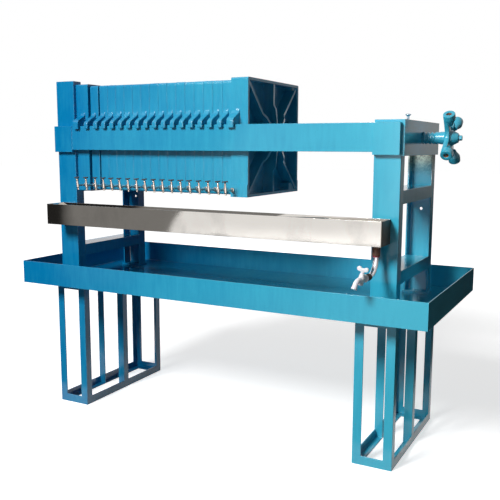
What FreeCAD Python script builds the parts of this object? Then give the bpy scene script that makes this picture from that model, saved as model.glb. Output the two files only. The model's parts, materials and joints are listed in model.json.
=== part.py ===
import FreeCAD, Part
import math
import os

# Hand-screwed plate filter press for edible oil, built as the real one is:
# a sheet drip tray on two welded angle-iron leg frames, four channel posts
# that stand in the tray, two side beams along which the plates hang on cast
# lugs, a fixed head against the left posts, a movable head pushed by a screw
# that runs in a nut in the right-hand crosshead, and a collecting trough
# under the row of drain cocks.
#
# Millimetres. +X runs along the press from the fixed head to the hand wheel,
# +Y runs to the back, +Z is up, Z = 0 is the floor, and X = 0 is the middle
# of the overall length.

V = FreeCAD.Vector
X_AXIS = V(1, 0, 0)
Y_AXIS = V(0, 1, 0)
Z_AXIS = V(0, 0, 1)

# ---------------------------------------------------------------- stand
tray_length = 1845.0
tray_width = 797.0
tray_wall_height = 100.0
tray_sheet = 3.0

leg_height = 575.0              # floor to the underside of the tray
leg_frame_length = 156.0        # along the press
leg_frame_width = 588.0         # across the press
leg_angle = 35.0
leg_angle_wall = 5.0
left_leg_inset = 183.5          # tray's left end to the left leg frame's centre
right_leg_inset = 216.0         # tray's right end to the right leg frame's centre

# ---------------------------------------------------------------- end frames
left_post_inset = 151.5         # tray's left end to the left posts' centre line
post_spacing = 1490.5           # left posts to right posts, centre to centre
posts_across = 510.0            # over the outer faces of the front and back posts
post_width = 100.0
post_depth = 50.0
post_wall = 6.0
post_root_radius = 7.0
left_post_rise = 898.0          # the tray's floor to the top of the left posts
foot_plate_thickness = 10.0
foot_plate_margin = 6.0
post_hole_diameter = 12.0
post_hole_rise = 357.0          # above the tray's floor

rung_height = 50.0
rung_wall = 6.0
upper_rung_rise = 458.0         # the tray's floor to the rung's top
lower_rung_rise = 162.0

# ---------------------------------------------------------------- beams and crosshead
press_axis_rise = 647.8         # the tray's floor to the screw's axis
beam_height = 104.0
beam_thickness = 20.0
bracket_length = 100.0
bracket_drop = 10.0             # how far the end brackets reach below the beam
bracket_proud = 2.0             # how far they stand out beyond the beam's face

crosshead_rise = 53.0           # screw axis to the top of the right posts
crosshead_drop = 65.0           # screw axis to the end plate's lower edge
crosshead_plate = 11.0
top_plate_thickness = 10.0

nut_diameter = 92.0              # across its corners
nut_length = 78.0
screw_clearance = 0.3

oil_bolt_sides = 12
oil_bolt_shank_diameter = 11.5
oil_bolt_head_diameter = 23.0
oil_bolt_head_height = 8.0
oil_bolt_crown_diameter = 17.0
oil_bolt_crown_height = 2.5
oil_bolt_stand = 31.0           # top of the head above the crosshead

# ---------------------------------------------------------------- filter pack
plate_count = 16
plate_thickness = 44.2
plate_width = 468.0
plate_height = 457.0
plate_gap = 0.3
plate_corner = 5.0              # the plate's own corners are cut off by this much
loose_gap_before = 7.0          # the first plate hangs a little apart
loose_gap_after = 8.0
chamber_margin = 42.0
chamber_depth = 3.6
chamber_corner = 24.0           # the chamber's corners are cut off by this much
feed_hole_diameter = 34.0
feed_hole_sides = 8             # in the plates

head_width = 482.0
head_height = 471.0
head_face_thickness = 24.0
head_rim_width = 11.0
head_rib_thickness = 11.0
head_corner_radius = 7.0
rib_below_rim = 4.0             # outer part of the ribs
rib_ramp_outer = 140.0          # from the axis, where a rib starts to rise
rib_ramp_inner = 119.0
rib_above_rim = 7.0             # at the ramp's inner end
rib_crown = 17.0                # above the rim at the centre
fixed_head_thickness = 68.0
moving_head_thickness = 76.0
feed_boss_diameter = 78.0
feed_boss_length = 24.0
thrust_boss_diameter = 104.0
thrust_boss_length = 24.0
thrust_socket_depth = 44.0
head_band_height = 50.0
head_band_proud = 5.0
corner_pad_length = 65.0
corner_pad_height = 29.0
corner_ledge_length = 40.0
corner_ledge_height = 12.0
corner_pad_below_rim = 8.0

lug_root_width = 26.0
lug_tip_width = 21.0
lug_offset = 6.0                # towards the fixed head from the plate's middle
head_lug_root_width = 34.0
head_lug_tip_width = 28.0
head_lug_place = 21.0           # moving head's face to its lug's middle
lug_root_height = 115.0         # top of the lug's root above the press axis
lug_root_radius = 25.0
lug_shoulder_radius = 18.0
lug_slope = 30.0
lug_seat_clearance = 0.3
lug_lip_gap = 5.0
lug_lip_thickness = 10.0
lug_lip_drop = 13.0

# ---------------------------------------------------------------- drain cocks
cock_sides = 6
cock_height = 21.0              # cock's inlet above the plate's lower edge
cock_shank_diameter = 11.0
cock_collar_diameter = 19.0
cock_collar_length = 7.0
cock_reach = 57.0               # plate's side to the cock's upright body
cock_body_diameter = 12.0
cock_body_top = 28.0
cock_body_bottom = 11.0
cock_spout_diameter = 9.0
cock_spout_bottom = 20.0
cock_stem_diameter = 7.0
cock_key_height = 35.0
cock_key_length = 24.0
cock_key_thickness = 6.0
cock_offset = 8.0               # towards the fixed head from the plate's middle
fixed_cock_place = 22.0         # fixed head's face to its cock
moving_cock_place = 9.6         # moving head's face to its cock

# ---------------------------------------------------------------- screw and hand wheel
screw_diameter = 45.0
screw_nose_diameter = 40.0
screw_show = 67.0               # crosshead to the hand wheel's hub
wheel_sleeve_diameter = 48.0
wheel_sleeve_length = 22.0
wheel_web_thickness = 18.0
wheel_waist = 96.0              # across the wheel between two lobes
wheel_cone_length = 27.0
wheel_cone_base = 60.0
wheel_cone_tip = 32.0
wheel_diameter = 218.0
lobe_diameter = 45.0
lobe_place = 20.0               # the web's rear face to the lobes' centre line
lobe_count = 4
lobe_tilt = 37.0                # the first lobe's angle from the horizontal
bar_hole_diameter = 19.0
bar_hole_depth = 34.0
wheel_nut_diameter = 23.0
wheel_nut_length = 12.0

# ---------------------------------------------------------------- trough and outlet
trough_left_overhang = 32.0     # beyond the left posts' centre line
trough_right_overhang = 20.5    # beyond the right posts' centre line
trough_depth = 105.0
trough_height = 90.0
trough_rise = 267.0             # the tray's floor to the trough's underside
trough_sheet = 2.0

pipe_sides = 12
bore_sides = 6
bend_step = 12.0                # degrees between the rings of a bend
outlet_inset = 34.0             # trough's right end to the outlet's centre
outlet_turn = 6.0               # degrees that the tap points away from straight ahead
tap_lean = 8.0                  # degrees that the tap is screwed on out of plumb
socket_diameter = 30.0
socket_length = 40.0
pipe_diameter = 20.0
pipe_bore = 15.0
pipe_drop = 10.0                # socket to the start of the bend
pipe_bend_radius = 57.0
nipple_diameter = 26.0
nipple_length = 31.0

tap_collar_diameter = 29.0
tap_collar_length = 6.0
tap_barrel_diameter = 20.0
tap_barrel_length = 52.0
tap_plug_place = 32.0           # collar to the tap's plug
tap_bonnet_diameter = 21.0
tap_bonnet_height = 22.0
tap_plug_drop = 20.0
tap_plug_diameter = 19.0
tap_spout_radius = 22.0
tap_spout_turn = 65.0
tap_spout_diameter = 19.0
tap_spout_run = 9.0
tap_tip_diameter = 22.0
tap_tip_length = 7.0
tap_handle_length = 44.0
tap_handle_thickness = 8.0
tap_handle_height = 24.0
tap_handle_waist = 12.0
tap_handle_gap = 0.4

# ---------------------------------------------------------------- places worked out from the sizes
wheel_hub_length = wheel_sleeve_length + wheel_web_thickness + wheel_cone_length
wheel_end_from_post = (post_width / 2 + crosshead_plate + screw_show
                       + wheel_hub_length + wheel_nut_length)
overall_length = left_post_inset + post_spacing + wheel_end_from_post

x_tray_left = -overall_length / 2
x_tray_right = x_tray_left + tray_length
x_left_posts = x_tray_left + left_post_inset
x_right_posts = x_left_posts + post_spacing
x_left_legs = x_tray_left + left_leg_inset
x_right_legs = x_tray_right - right_leg_inset

y_post_face = posts_across / 2
y_post_inner = y_post_face - post_depth
y_beam_face = y_post_face + beam_thickness

z_tray_floor = leg_height + tray_sheet
press_axis_height = z_tray_floor + press_axis_rise
left_post_top = z_tray_floor + left_post_rise
post_hole_height = z_tray_floor + post_hole_rise
upper_rung_top = z_tray_floor + upper_rung_rise
lower_rung_top = z_tray_floor + lower_rung_rise
trough_bottom = z_tray_floor + trough_rise
z_post_foot = z_tray_floor + foot_plate_thickness
z_right_post_top = press_axis_height + crosshead_rise
z_crosshead_top = z_right_post_top + top_plate_thickness
z_beam_top = press_axis_height + beam_height / 2
z_beam_bottom = press_axis_height - beam_height / 2

x_fixed_head = x_left_posts + post_width / 2
x_fixed_face = x_fixed_head + fixed_head_thickness
x_first_plate = x_fixed_face + loose_gap_before
x_second_plate = x_first_plate + plate_thickness + loose_gap_after
plate_pitch = plate_thickness + plate_gap
x_moving_face = x_second_plate + (plate_count - 1) * plate_pitch
x_moving_back = x_moving_face + moving_head_thickness
x_thrust_end = x_moving_back + thrust_boss_length

x_end_plate = x_right_posts + post_width / 2
x_end_plate_outer = x_end_plate + crosshead_plate
x_wheel = x_end_plate_outer + screw_show
x_wheel_nut = x_wheel + wheel_hub_length

x_trough_left = x_left_posts - trough_left_overhang
x_trough_right = x_right_posts + trough_right_overhang
x_outlet = x_trough_right - outlet_inset
y_outlet = -y_post_face - trough_depth / 2
z_socket_bottom = trough_bottom - socket_length
z_bend = z_socket_bottom - pipe_drop
z_tap = z_bend - pipe_bend_radius

# forward of the outlet's centre
f_nipple = pipe_bend_radius
f_collar = f_nipple + nipple_length
f_barrel = f_collar + tap_collar_length
f_plug = f_collar + tap_plug_place
f_bend = f_barrel + tap_barrel_length
spout_turn = math.radians(tap_spout_turn)
f_tip = (f_bend + (tap_spout_radius + tap_tip_diameter / 2) * math.sin(spout_turn)
         + (tap_spout_run + tap_tip_length) * math.cos(spout_turn))

# the tap reaches out in front of the tray, so the middle of the width lies that much forward
y_front = y_outlet - f_tip * math.cos(math.radians(outlet_turn))
press_shift = -(y_front + tray_width / 2) / 2


# ---------------------------------------------------------------- shapes used by several pieces
def block(x0, x1, y0, y1, z0, z1):
    """A rectangular block between two corners."""
    return Part.makeBox(x1 - x0, y1 - y0, z1 - z0, V(x0, y0, z0))


def rod(radius, length, start, direction):
    """A round bar from a start point along a direction."""
    return Part.makeCylinder(radius, length, start, direction)


def polygon_face(points):
    """A flat face bounded by straight lines through the points."""
    return Part.Face(Part.makePolygon(points + [points[0]]))


def ring_face(sides, diameter, center, direction):
    """A regular polygon round a centre, square to a direction."""
    turn = FreeCAD.Rotation(Z_AXIS, direction)
    points = []
    for index in range(sides):
        angle = math.radians((index + 0.5) * 360.0 / sides)
        spoke = V(math.cos(angle), math.sin(angle), 0) * (diameter / 2)
        points.append(center + turn.multVec(spoke))
    return polygon_face(points)


def prism(sides, diameter, length, start, direction):
    """A many-sided bar from a start point along a direction."""
    return ring_face(sides, diameter, start, direction).extrude(direction * length)


def fuse(pieces):
    """One clean solid from pieces that touch or overlap."""
    joined = pieces[0].multiFuse(pieces[1:]) if len(pieces) > 1 else pieces[0]
    return joined.removeSplitter()


def edges_along(shape, axis, minimum=0.0):
    """The straight edges of a shape that run along an axis."""
    found = []
    for edge in shape.Edges:
        if not isinstance(edge.Curve, (Part.Line, Part.LineSegment)):
            continue
        run = edge.Vertexes[-1].Point - edge.Vertexes[0].Point
        if run.Length > minimum and abs(run.normalize().dot(axis)) > 0.999:
            found.append(edge)
    return found


def rounded_slab(x0, x1, width, height, radius):
    """An upright slab centred on the press axis, its four long edges rounded."""
    slab = block(x0, x1, -width / 2, width / 2,
                 press_axis_height - height / 2, press_axis_height + height / 2)
    return slab.makeFillet(radius, edges_along(slab, X_AXIS))


def clipped_slab(x0, x1, width, height, corner):
    """An upright slab centred on the press axis, its four corners cut off."""
    slab = block(x0, x1, -width / 2, width / 2,
                 press_axis_height - height / 2, press_axis_height + height / 2)
    return slab.makeChamfer(corner, edges_along(slab, X_AXIS))


def angle_bar(corner, along, length, leg_a, leg_b):
    """An equal angle: two legs from its outer corner, carried along its length."""
    wall = leg_angle_wall
    a = leg_a * leg_angle
    b = leg_b * leg_angle
    points = [corner, corner + a, corner + a + leg_b * wall,
              corner + leg_a * wall + leg_b * wall, corner + b + leg_a * wall, corner + b]
    return polygon_face(points).extrude(along * length)


# ---------------------------------------------------------------- stand
def leg_frame(x_center):
    """A welded frame of angle iron: six uprights between a lower and an upper ring."""
    x0 = x_center - leg_frame_length / 2
    x1 = x_center + leg_frame_length / 2
    y0 = -leg_frame_width / 2
    y1 = leg_frame_width / 2
    bars = []
    for x, to_x in ((x0, X_AXIS), (x1, -X_AXIS)):
        for y, to_y in ((y0, Y_AXIS), (y1, -Y_AXIS)):
            bars.append(angle_bar(V(x, y, 0), Z_AXIS, leg_height, to_x, to_y))
        middle = V(x, -leg_angle / 2, 0)
        bars.append(angle_bar(middle, Z_AXIS, leg_height, to_x, Y_AXIS))
        for z, to_z in ((0, Z_AXIS), (leg_height, -Z_AXIS)):
            bars.append(angle_bar(V(x, y0, z), Y_AXIS, leg_frame_width, to_x, to_z))
    for y, to_y in ((y0, Y_AXIS), (y1, -Y_AXIS)):
        for z, to_z in ((0, Z_AXIS), (leg_height, -Z_AXIS)):
            bars.append(angle_bar(V(x0, y, z), X_AXIS, leg_frame_length, to_y, to_z))
    return fuse(bars)


def drip_tray():
    """An open pan folded from sheet."""
    y1 = tray_width / 2
    outer = block(x_tray_left, x_tray_right, -y1, y1,
                  leg_height, leg_height + tray_wall_height)
    inner = block(x_tray_left + tray_sheet, x_tray_right - tray_sheet,
                  -y1 + tray_sheet, y1 - tray_sheet,
                  z_tray_floor, leg_height + tray_wall_height + 1)
    return outer.cut(inner)


# ---------------------------------------------------------------- end frames
def channel_profile(x_center, y_face, inward, z):
    """A channel section: web at y_face, flanges pointing inward across the press."""
    half = post_width / 2
    back = y_face
    tip = y_face + inward * post_depth
    web = y_face + inward * post_wall
    return polygon_face([
        V(x_center - half, back, z), V(x_center + half, back, z),
        V(x_center + half, tip, z), V(x_center + half - post_wall, tip, z),
        V(x_center + half - post_wall, web, z), V(x_center - half + post_wall, web, z),
        V(x_center - half + post_wall, tip, z), V(x_center - half, tip, z)])


def post(x_center, side, top):
    """A channel post on its foot plate; side is -1 at the front and 1 at the back."""
    y_face = side * y_post_face
    channel = channel_profile(x_center, y_face, -side, z_post_foot)
    channel = channel.extrude(Z_AXIS * (top - z_post_foot))
    roots = []
    for edge in edges_along(channel, Z_AXIS):
        point = edge.CenterOfMass
        inside = abs(abs(point.x - x_center) - post_width / 2 + post_wall) < 0.01
        if inside and abs(abs(point.y) - y_post_face + post_wall) < 0.01:
            roots.append(edge)
    channel = channel.makeFillet(post_root_radius, roots)
    half = post_width / 2 + foot_plate_margin
    y_low, y_high = sorted((y_face + side * foot_plate_margin,
                            side * (y_post_inner - foot_plate_margin)))
    foot = block(x_center - half, x_center + half, y_low, y_high,
                 z_tray_floor, z_post_foot)
    return fuse([channel, foot])


def back_post(x_center, top):
    """A back post with a bolt hole through its web."""
    hole = rod(post_hole_diameter / 2, post_wall + 2,
               V(x_center, y_post_face + 1, post_hole_height), -Y_AXIS)
    return post(x_center, 1, top).cut(hole)


def rung(x_center, top):
    """A cross channel laid on its flanges between the front and back posts."""
    half = post_width / 2
    y0 = -y_post_inner
    points = [V(x_center - half, y0, top), V(x_center + half, y0, top),
              V(x_center + half, y0, top - rung_height),
              V(x_center + half - rung_wall, y0, top - rung_height),
              V(x_center + half - rung_wall, y0, top - rung_wall),
              V(x_center - half + rung_wall, y0, top - rung_wall),
              V(x_center - half + rung_wall, y0, top - rung_height),
              V(x_center - half, y0, top - rung_height)]
    return polygon_face(points).extrude(Y_AXIS * (2 * y_post_inner))


def cross_rungs(x_center):
    """The upper and the lower rung of one end frame."""
    return Part.makeCompound([rung(x_center, upper_rung_top), rung(x_center, lower_rung_top)])


# ---------------------------------------------------------------- beams and crosshead
def side_beam(side):
    """A flat bar along the outer faces of the posts, with a bracket plate at each end."""
    x0 = x_left_posts - post_width / 2
    x1 = x_right_posts + post_width / 2
    y_low, y_high = sorted((side * y_post_face, side * y_beam_face))
    bar = block(x0 + bracket_length, x1 - bracket_length, y_low, y_high,
                z_beam_bottom, z_beam_top)
    y_low, y_high = sorted((side * y_post_face, side * (y_beam_face + bracket_proud)))
    z_low = z_beam_bottom - bracket_drop
    left = block(x0, x0 + bracket_length, y_low, y_high, z_low, z_beam_top)
    right = block(x1 - bracket_length, x1, y_low, y_high, z_low, z_beam_top)
    return fuse([left, bar, right])


def crosshead():
    """End plate and top plate that tie the right posts and hold the nut."""
    end = block(x_end_plate, x_end_plate_outer, -y_post_face, y_post_face,
                press_axis_height - crosshead_drop, z_crosshead_top)
    top = block(x_right_posts - post_width / 2, x_end_plate, -y_post_face, y_post_face,
                z_right_post_top, z_crosshead_top)
    screw_way = rod(screw_diameter / 2 + screw_clearance, crosshead_plate + 2,
                    V(x_end_plate - 1, 0, press_axis_height), X_AXIS)
    bolt_way = prism(oil_bolt_sides, oil_bolt_shank_diameter, top_plate_thickness + 2,
                     V(x_right_posts, 0, z_right_post_top - 1), Z_AXIS)
    return fuse([end, top]).cut(screw_way).cut(bolt_way)


def screw_nut():
    """The hexagonal nut that the screw runs in, seated against the end plate."""
    start = V(x_end_plate - nut_length, 0, press_axis_height)
    body = prism(6, nut_diameter, nut_length, start, X_AXIS)
    bore = rod(screw_diameter / 2 + screw_clearance, nut_length + 2, start - X_AXIS, X_AXIS)
    return body.cut(bore)


def oil_bolt():
    """The lubricating bolt that stands on the crosshead above the nut."""
    z_nut = press_axis_height + nut_diameter / 2 * math.cos(math.pi / 6)
    z_top = z_crosshead_top + oil_bolt_stand
    z_head = z_top - oil_bolt_head_height
    z_crown = z_top - oil_bolt_crown_height
    parts = [prism(oil_bolt_sides, diameter, high - low, V(x_right_posts, 0, low), Z_AXIS)
             for diameter, low, high in ((oil_bolt_shank_diameter, z_nut, z_head),
                                         (oil_bolt_head_diameter, z_head, z_crown),
                                         (oil_bolt_crown_diameter, z_crown, z_top))]
    return fuse(parts)


# ---------------------------------------------------------------- filter pack
def lug(x_center, root_y, side, root_width, tip_width):
    """A cast tongue: it leaves the plate in a hollow curve, and its shoulder hooks over the beam."""
    z_seat = z_beam_top + lug_seat_clearance
    y_lip = y_beam_face + lug_lip_gap
    y_tip = y_lip + lug_lip_thickness
    z_root = press_axis_height + lug_root_height
    z_tip = z_seat - lug_lip_drop
    slope = math.radians(lug_slope)

    def at(y, z):
        return V(x_center - root_width / 2, side * y, z)

    def on_root(angle):
        return (root_y + lug_root_radius * (1 - math.cos(angle)),
                z_root - lug_root_radius * math.sin(angle))

    def on_shoulder(angle):
        return (y_tip - lug_shoulder_radius * (1 - math.cos(angle)),
                z_shoulder + lug_shoulder_radius * math.sin(angle))

    lean = math.pi / 2 - slope
    root_end = on_root(lean)
    y_crest = y_tip - lug_shoulder_radius * (1 - math.cos(lean))
    z_crest = root_end[1] - (y_crest - root_end[0]) * math.tan(slope)
    z_shoulder = z_crest - lug_shoulder_radius * math.sin(lean)
    hollow = Part.Arc(at(root_y, z_root), at(*on_root(lean / 2)), at(*root_end)).toShape()
    flank = Part.makeLine(at(*root_end), at(y_crest, z_crest))
    shoulder = Part.Arc(at(y_crest, z_crest), at(*on_shoulder(lean / 2)),
                        at(y_tip, z_shoulder)).toShape()
    corners = [at(y_tip, z_shoulder), at(y_tip, z_tip), at(y_lip, z_tip), at(y_lip, z_seat),
               at(root_y, z_seat), at(root_y, z_root)]
    outline = Part.Wire([hollow, flank, shoulder]
                        + [Part.makeLine(corners[i], corners[i + 1])
                           for i in range(len(corners) - 1)])
    full = Part.Face(outline).extrude(X_AXIS * root_width)
    taper = polygon_face([V(x_center - root_width / 2, side * root_y, z_tip - 1),
                          V(x_center + root_width / 2, side * root_y, z_tip - 1),
                          V(x_center + tip_width / 2, side * y_tip, z_tip - 1),
                          V(x_center - tip_width / 2, side * y_tip, z_tip - 1)])
    return full.common(taper.extrude(Z_AXIS * (z_root - z_tip + 2)))


def lug_pair(x_center, root_y, root_width, tip_width):
    """A lug on each side of a plate or head."""
    return [lug(x_center, root_y, -1, root_width, tip_width),
            lug(x_center, root_y, 1, root_width, tip_width)]


def filter_plate(x0):
    """A cast plate with a shallow chamber in each face, a feed hole and two lugs."""
    x1 = x0 + plate_thickness
    slab = clipped_slab(x0, x1, plate_width, plate_height, plate_corner)
    for start, end in ((x0 - 1, x0 + chamber_depth), (x1 - chamber_depth, x1 + 1)):
        slab = slab.cut(clipped_slab(start, end, plate_width - 2 * chamber_margin,
                                     plate_height - 2 * chamber_margin, chamber_corner))
    feed = prism(feed_hole_sides, feed_hole_diameter, plate_thickness + 2,
                 V(x0 - 1, 0, press_axis_height), X_AXIS)
    slab = slab.cut(feed)
    x_lug = (x0 + x1) / 2 - lug_offset
    return fuse([slab] + lug_pair(x_lug, plate_width / 2, lug_root_width, lug_tip_width))


def head_rib(x_slab, x_rim, outward, reach, angle):
    """One rib from a head's middle to its rim, low at the rim and rising to the centre."""
    profile = [(x_slab, 0), (x_slab, reach),
               (x_rim - outward * rib_below_rim, reach),
               (x_rim - outward * rib_below_rim, rib_ramp_outer),
               (x_rim + outward * rib_above_rim, rib_ramp_inner),
               (x_rim + outward * rib_crown, 0)]
    half = head_rib_thickness / 2
    rib = polygon_face([V(x, -half, press_axis_height + r) for x, r in profile])
    rib = rib.extrude(Y_AXIS * head_rib_thickness)
    rib.rotate(V(0, 0, press_axis_height), X_AXIS, angle)
    return rib


def head_casting(x_face, x_back, outward):
    """A head: a face slab stiffened at its back by a rim and eight ribs."""
    x_slab = x_face + outward * head_face_thickness
    x_low, x_high = sorted((x_face, x_slab))
    slab = rounded_slab(x_low, x_high, head_width, head_height, head_corner_radius)
    x_low, x_high = sorted((x_slab, x_back))
    rim = rounded_slab(x_low, x_high, head_width, head_height, head_corner_radius)
    inner_y = head_width / 2 - head_rim_width
    inner_z = head_height / 2 - head_rim_width
    rim = rim.cut(block(x_low - 1, x_high + 1, -inner_y, inner_y,
                        press_axis_height - inner_z, press_axis_height + inner_z))
    corner = math.degrees(math.atan2(inner_y, inner_z))
    ribs = []
    for turn in (0, 180):
        ribs.append(head_rib(x_slab, x_back, outward, inner_z, turn))
        ribs.append(head_rib(x_slab, x_back, outward, inner_y, turn + 90))
        for angle in (corner, -corner):
            ribs.append(head_rib(x_slab, x_back, outward, math.hypot(inner_y, inner_z),
                                 turn + angle))
    return [slab, rim] + ribs


def fixed_head():
    """The head bolted to the left posts, with the oil inlet through its centre."""
    pieces = head_casting(x_fixed_face, x_fixed_head, -1)
    boss = rod(feed_boss_diameter / 2, fixed_head_thickness - head_face_thickness
               + feed_boss_length,
               V(x_fixed_head - feed_boss_length, 0, press_axis_height), X_AXIS)
    middle = (x_fixed_head + x_fixed_face) / 2
    lugs = lug_pair(middle, head_width / 2, head_lug_root_width, head_lug_tip_width)
    inlet = rod(feed_hole_diameter / 2, fixed_head_thickness + feed_boss_length + 2,
                V(x_fixed_head - feed_boss_length - 1, 0, press_axis_height), X_AXIS)
    return fuse(pieces + [boss] + lugs).cut(inlet)


def moving_head():
    """The head that the screw pushes, with a socket for the screw's nose."""
    pieces = head_casting(x_moving_face, x_moving_back, 1)
    x_slab = x_moving_face + head_face_thickness
    pieces.append(rod(thrust_boss_diameter / 2, x_thrust_end - x_slab,
                      V(x_slab, 0, press_axis_height), X_AXIS))
    z_low = press_axis_height - head_height / 2
    for side in (-1, 1):
        y_low, y_high = sorted((side * (head_width / 2 + head_band_proud),
                                side * (head_width / 2 - head_rim_width)))
        pieces.append(block(x_moving_face, x_moving_back, y_low, y_high,
                            z_low, z_low + head_band_height))
    y_corner = head_width / 2 - head_rim_width
    z_corner = head_height / 2 - head_rim_width
    x_pad = x_moving_back - corner_pad_below_rim
    pieces.append(block(x_slab, x_pad, y_corner - corner_pad_length, y_corner,
                        press_axis_height - z_corner,
                        press_axis_height - z_corner + corner_pad_height))
    pieces.append(block(x_slab, x_pad, y_corner - corner_ledge_length, y_corner,
                        press_axis_height + z_corner - corner_ledge_height,
                        press_axis_height + z_corner))
    pieces += lug_pair(x_moving_face + head_lug_place, head_width / 2,
                       head_lug_root_width, head_lug_tip_width)
    socket = rod(screw_nose_diameter / 2 + screw_clearance, thrust_socket_depth + 1,
                 V(x_thrust_end - thrust_socket_depth, 0, press_axis_height), X_AXIS)
    return fuse(pieces).cut(socket)


def drain_cock(x_center, y_side, z_bottom):
    """A plug cock: inlet shank and collar, upright body with spout, and a T key."""
    z = z_bottom + cock_height
    y_body = -y_side - cock_reach
    sides = cock_sides
    shank = prism(sides, cock_shank_diameter, cock_reach, V(x_center, y_body, z), Y_AXIS)
    collar = prism(sides, cock_collar_diameter, cock_collar_length,
                   V(x_center, -y_side - cock_collar_length, z), Y_AXIS)
    stack = [(cock_spout_diameter, -cock_spout_bottom, -cock_body_bottom),
             (cock_body_diameter, -cock_body_bottom, cock_body_top),
             (cock_stem_diameter, cock_body_top, cock_key_height - cock_key_thickness / 2)]
    upright = [prism(sides, diameter, high - low, V(x_center, y_body, z + low), Z_AXIS)
               for diameter, low, high in stack]
    half = cock_key_thickness / 2
    key = block(x_center - cock_key_length / 2, x_center + cock_key_length / 2,
                y_body - half, y_body + half,
                z + cock_key_height - half, z + cock_key_height + half)
    return fuse([shank, collar, key] + upright)


# ---------------------------------------------------------------- screw and hand wheel
def press_screw():
    """The screw, from its nose in the moving head's boss to the wheel's seat."""
    x_nose = x_thrust_end - thrust_socket_depth + screw_clearance
    nose = rod(screw_nose_diameter / 2, thrust_socket_depth,
               V(x_nose, 0, press_axis_height), X_AXIS)
    x_shaft = x_thrust_end + screw_clearance
    shaft = rod(screw_diameter / 2, x_wheel - x_shaft,
                V(x_shaft, 0, press_axis_height), X_AXIS)
    return fuse([nose, shaft])


def hand_wheel():
    """A capstan wheel: sleeve, thin web, cone and four lobes with sockets for a bar."""
    z = press_axis_height
    x_web = x_wheel + wheel_sleeve_length
    x_cone = x_web + wheel_web_thickness
    sleeve = rod(wheel_sleeve_diameter / 2, wheel_sleeve_length, V(x_wheel, 0, z), X_AXIS)
    web = rod(wheel_waist / 2, wheel_web_thickness, V(x_web, 0, z), X_AXIS)
    cone = Part.makeCone(wheel_cone_base / 2, wheel_cone_tip / 2, wheel_cone_length,
                         V(x_cone, 0, z), X_AXIS)
    center = V(x_web + lobe_place, 0, z)
    lobes = []
    sockets = []
    for index in range(lobe_count):
        angle = math.radians(lobe_tilt + index * 360.0 / lobe_count)
        outward = V(0, math.cos(angle), math.sin(angle))
        lobes.append(rod(lobe_diameter / 2, wheel_diameter / 2, center, outward))
        mouth = center + outward * (wheel_diameter / 2 - bar_hole_depth)
        sockets.append(rod(bar_hole_diameter / 2, bar_hole_depth + 1, mouth, outward))
    wheel = fuse([sleeve, web, cone] + lobes)
    for socket in sockets:
        wheel = wheel.cut(socket)
    return wheel


def wheel_nut():
    """The hexagonal nut that holds the wheel on the screw."""
    return prism(6, wheel_nut_diameter, wheel_nut_length,
                 V(x_wheel_nut, 0, press_axis_height), X_AXIS)


# ---------------------------------------------------------------- trough and outlet
def collecting_trough():
    """An open sheet trough against the front posts, with a drain hole in its floor."""
    y0 = -y_post_face - trough_depth
    top = trough_bottom + trough_height
    outer = block(x_trough_left, x_trough_right, y0, -y_post_face, trough_bottom, top)
    inner = block(x_trough_left + trough_sheet, x_trough_right - trough_sheet,
                  y0 + trough_sheet, -y_post_face - trough_sheet,
                  trough_bottom + trough_sheet, top + 1)
    drain = prism(pipe_sides, pipe_bore, trough_sheet + 2,
                  V(x_outlet, y_outlet, trough_bottom - 1), Z_AXIS)
    return outer.cut(inner).cut(drain)


def outlet_socket():
    """The threaded socket under the trough's drain hole."""
    start = V(x_outlet, y_outlet, z_socket_bottom)
    body = prism(pipe_sides, socket_diameter, socket_length, start, Z_AXIS)
    return body.cut(prism(pipe_sides, pipe_bore, socket_length + 2, start - Z_AXIS, Z_AXIS))


def bend(sides, diameter, ring_center, ring_normal, hub, angle):
    """A pipe bend: one many-sided ring carried round the hub in equal small turns."""
    turns = max(1, round(abs(angle) / bend_step))
    rings = []
    for index in range(turns + 1):
        ring = ring_face(sides, diameter, ring_center, ring_normal).OuterWire
        ring.rotate(hub, X_AXIS, index * angle / turns)
        rings.append(ring)
    return Part.makeLoft(rings, True, True)


def turned_outlet(shape, lean=0.0):
    """Lean a piece about the level pipe, then turn it about the outlet's upright centre line."""
    shape.rotate(V(x_outlet, y_outlet, z_tap), Y_AXIS, -lean)
    shape.rotate(V(x_outlet, y_outlet, 0), Z_AXIS, -outlet_turn)
    return shape


def outlet_elbow():
    """The bent pipe from the socket round to the nipple that carries the tap."""
    start = V(x_outlet, y_outlet, z_bend)
    hub = start - Y_AXIS * pipe_bend_radius
    end = V(x_outlet, y_outlet - f_nipple, z_tap)
    solid = fuse([prism(pipe_sides, pipe_diameter, pipe_drop, start, Z_AXIS),
                  bend(pipe_sides, pipe_diameter, start, Z_AXIS, hub, -90),
                  prism(pipe_sides, nipple_diameter, nipple_length, end, -Y_AXIS)])
    ways = [prism(bore_sides, pipe_bore, pipe_drop + 1, start, Z_AXIS),
            bend(bore_sides, pipe_bore, start, Z_AXIS, hub, -90),
            prism(bore_sides, pipe_bore, nipple_length + 1, end, -Y_AXIS)]
    return turned_outlet(solid.cut(fuse(ways)))


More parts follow.
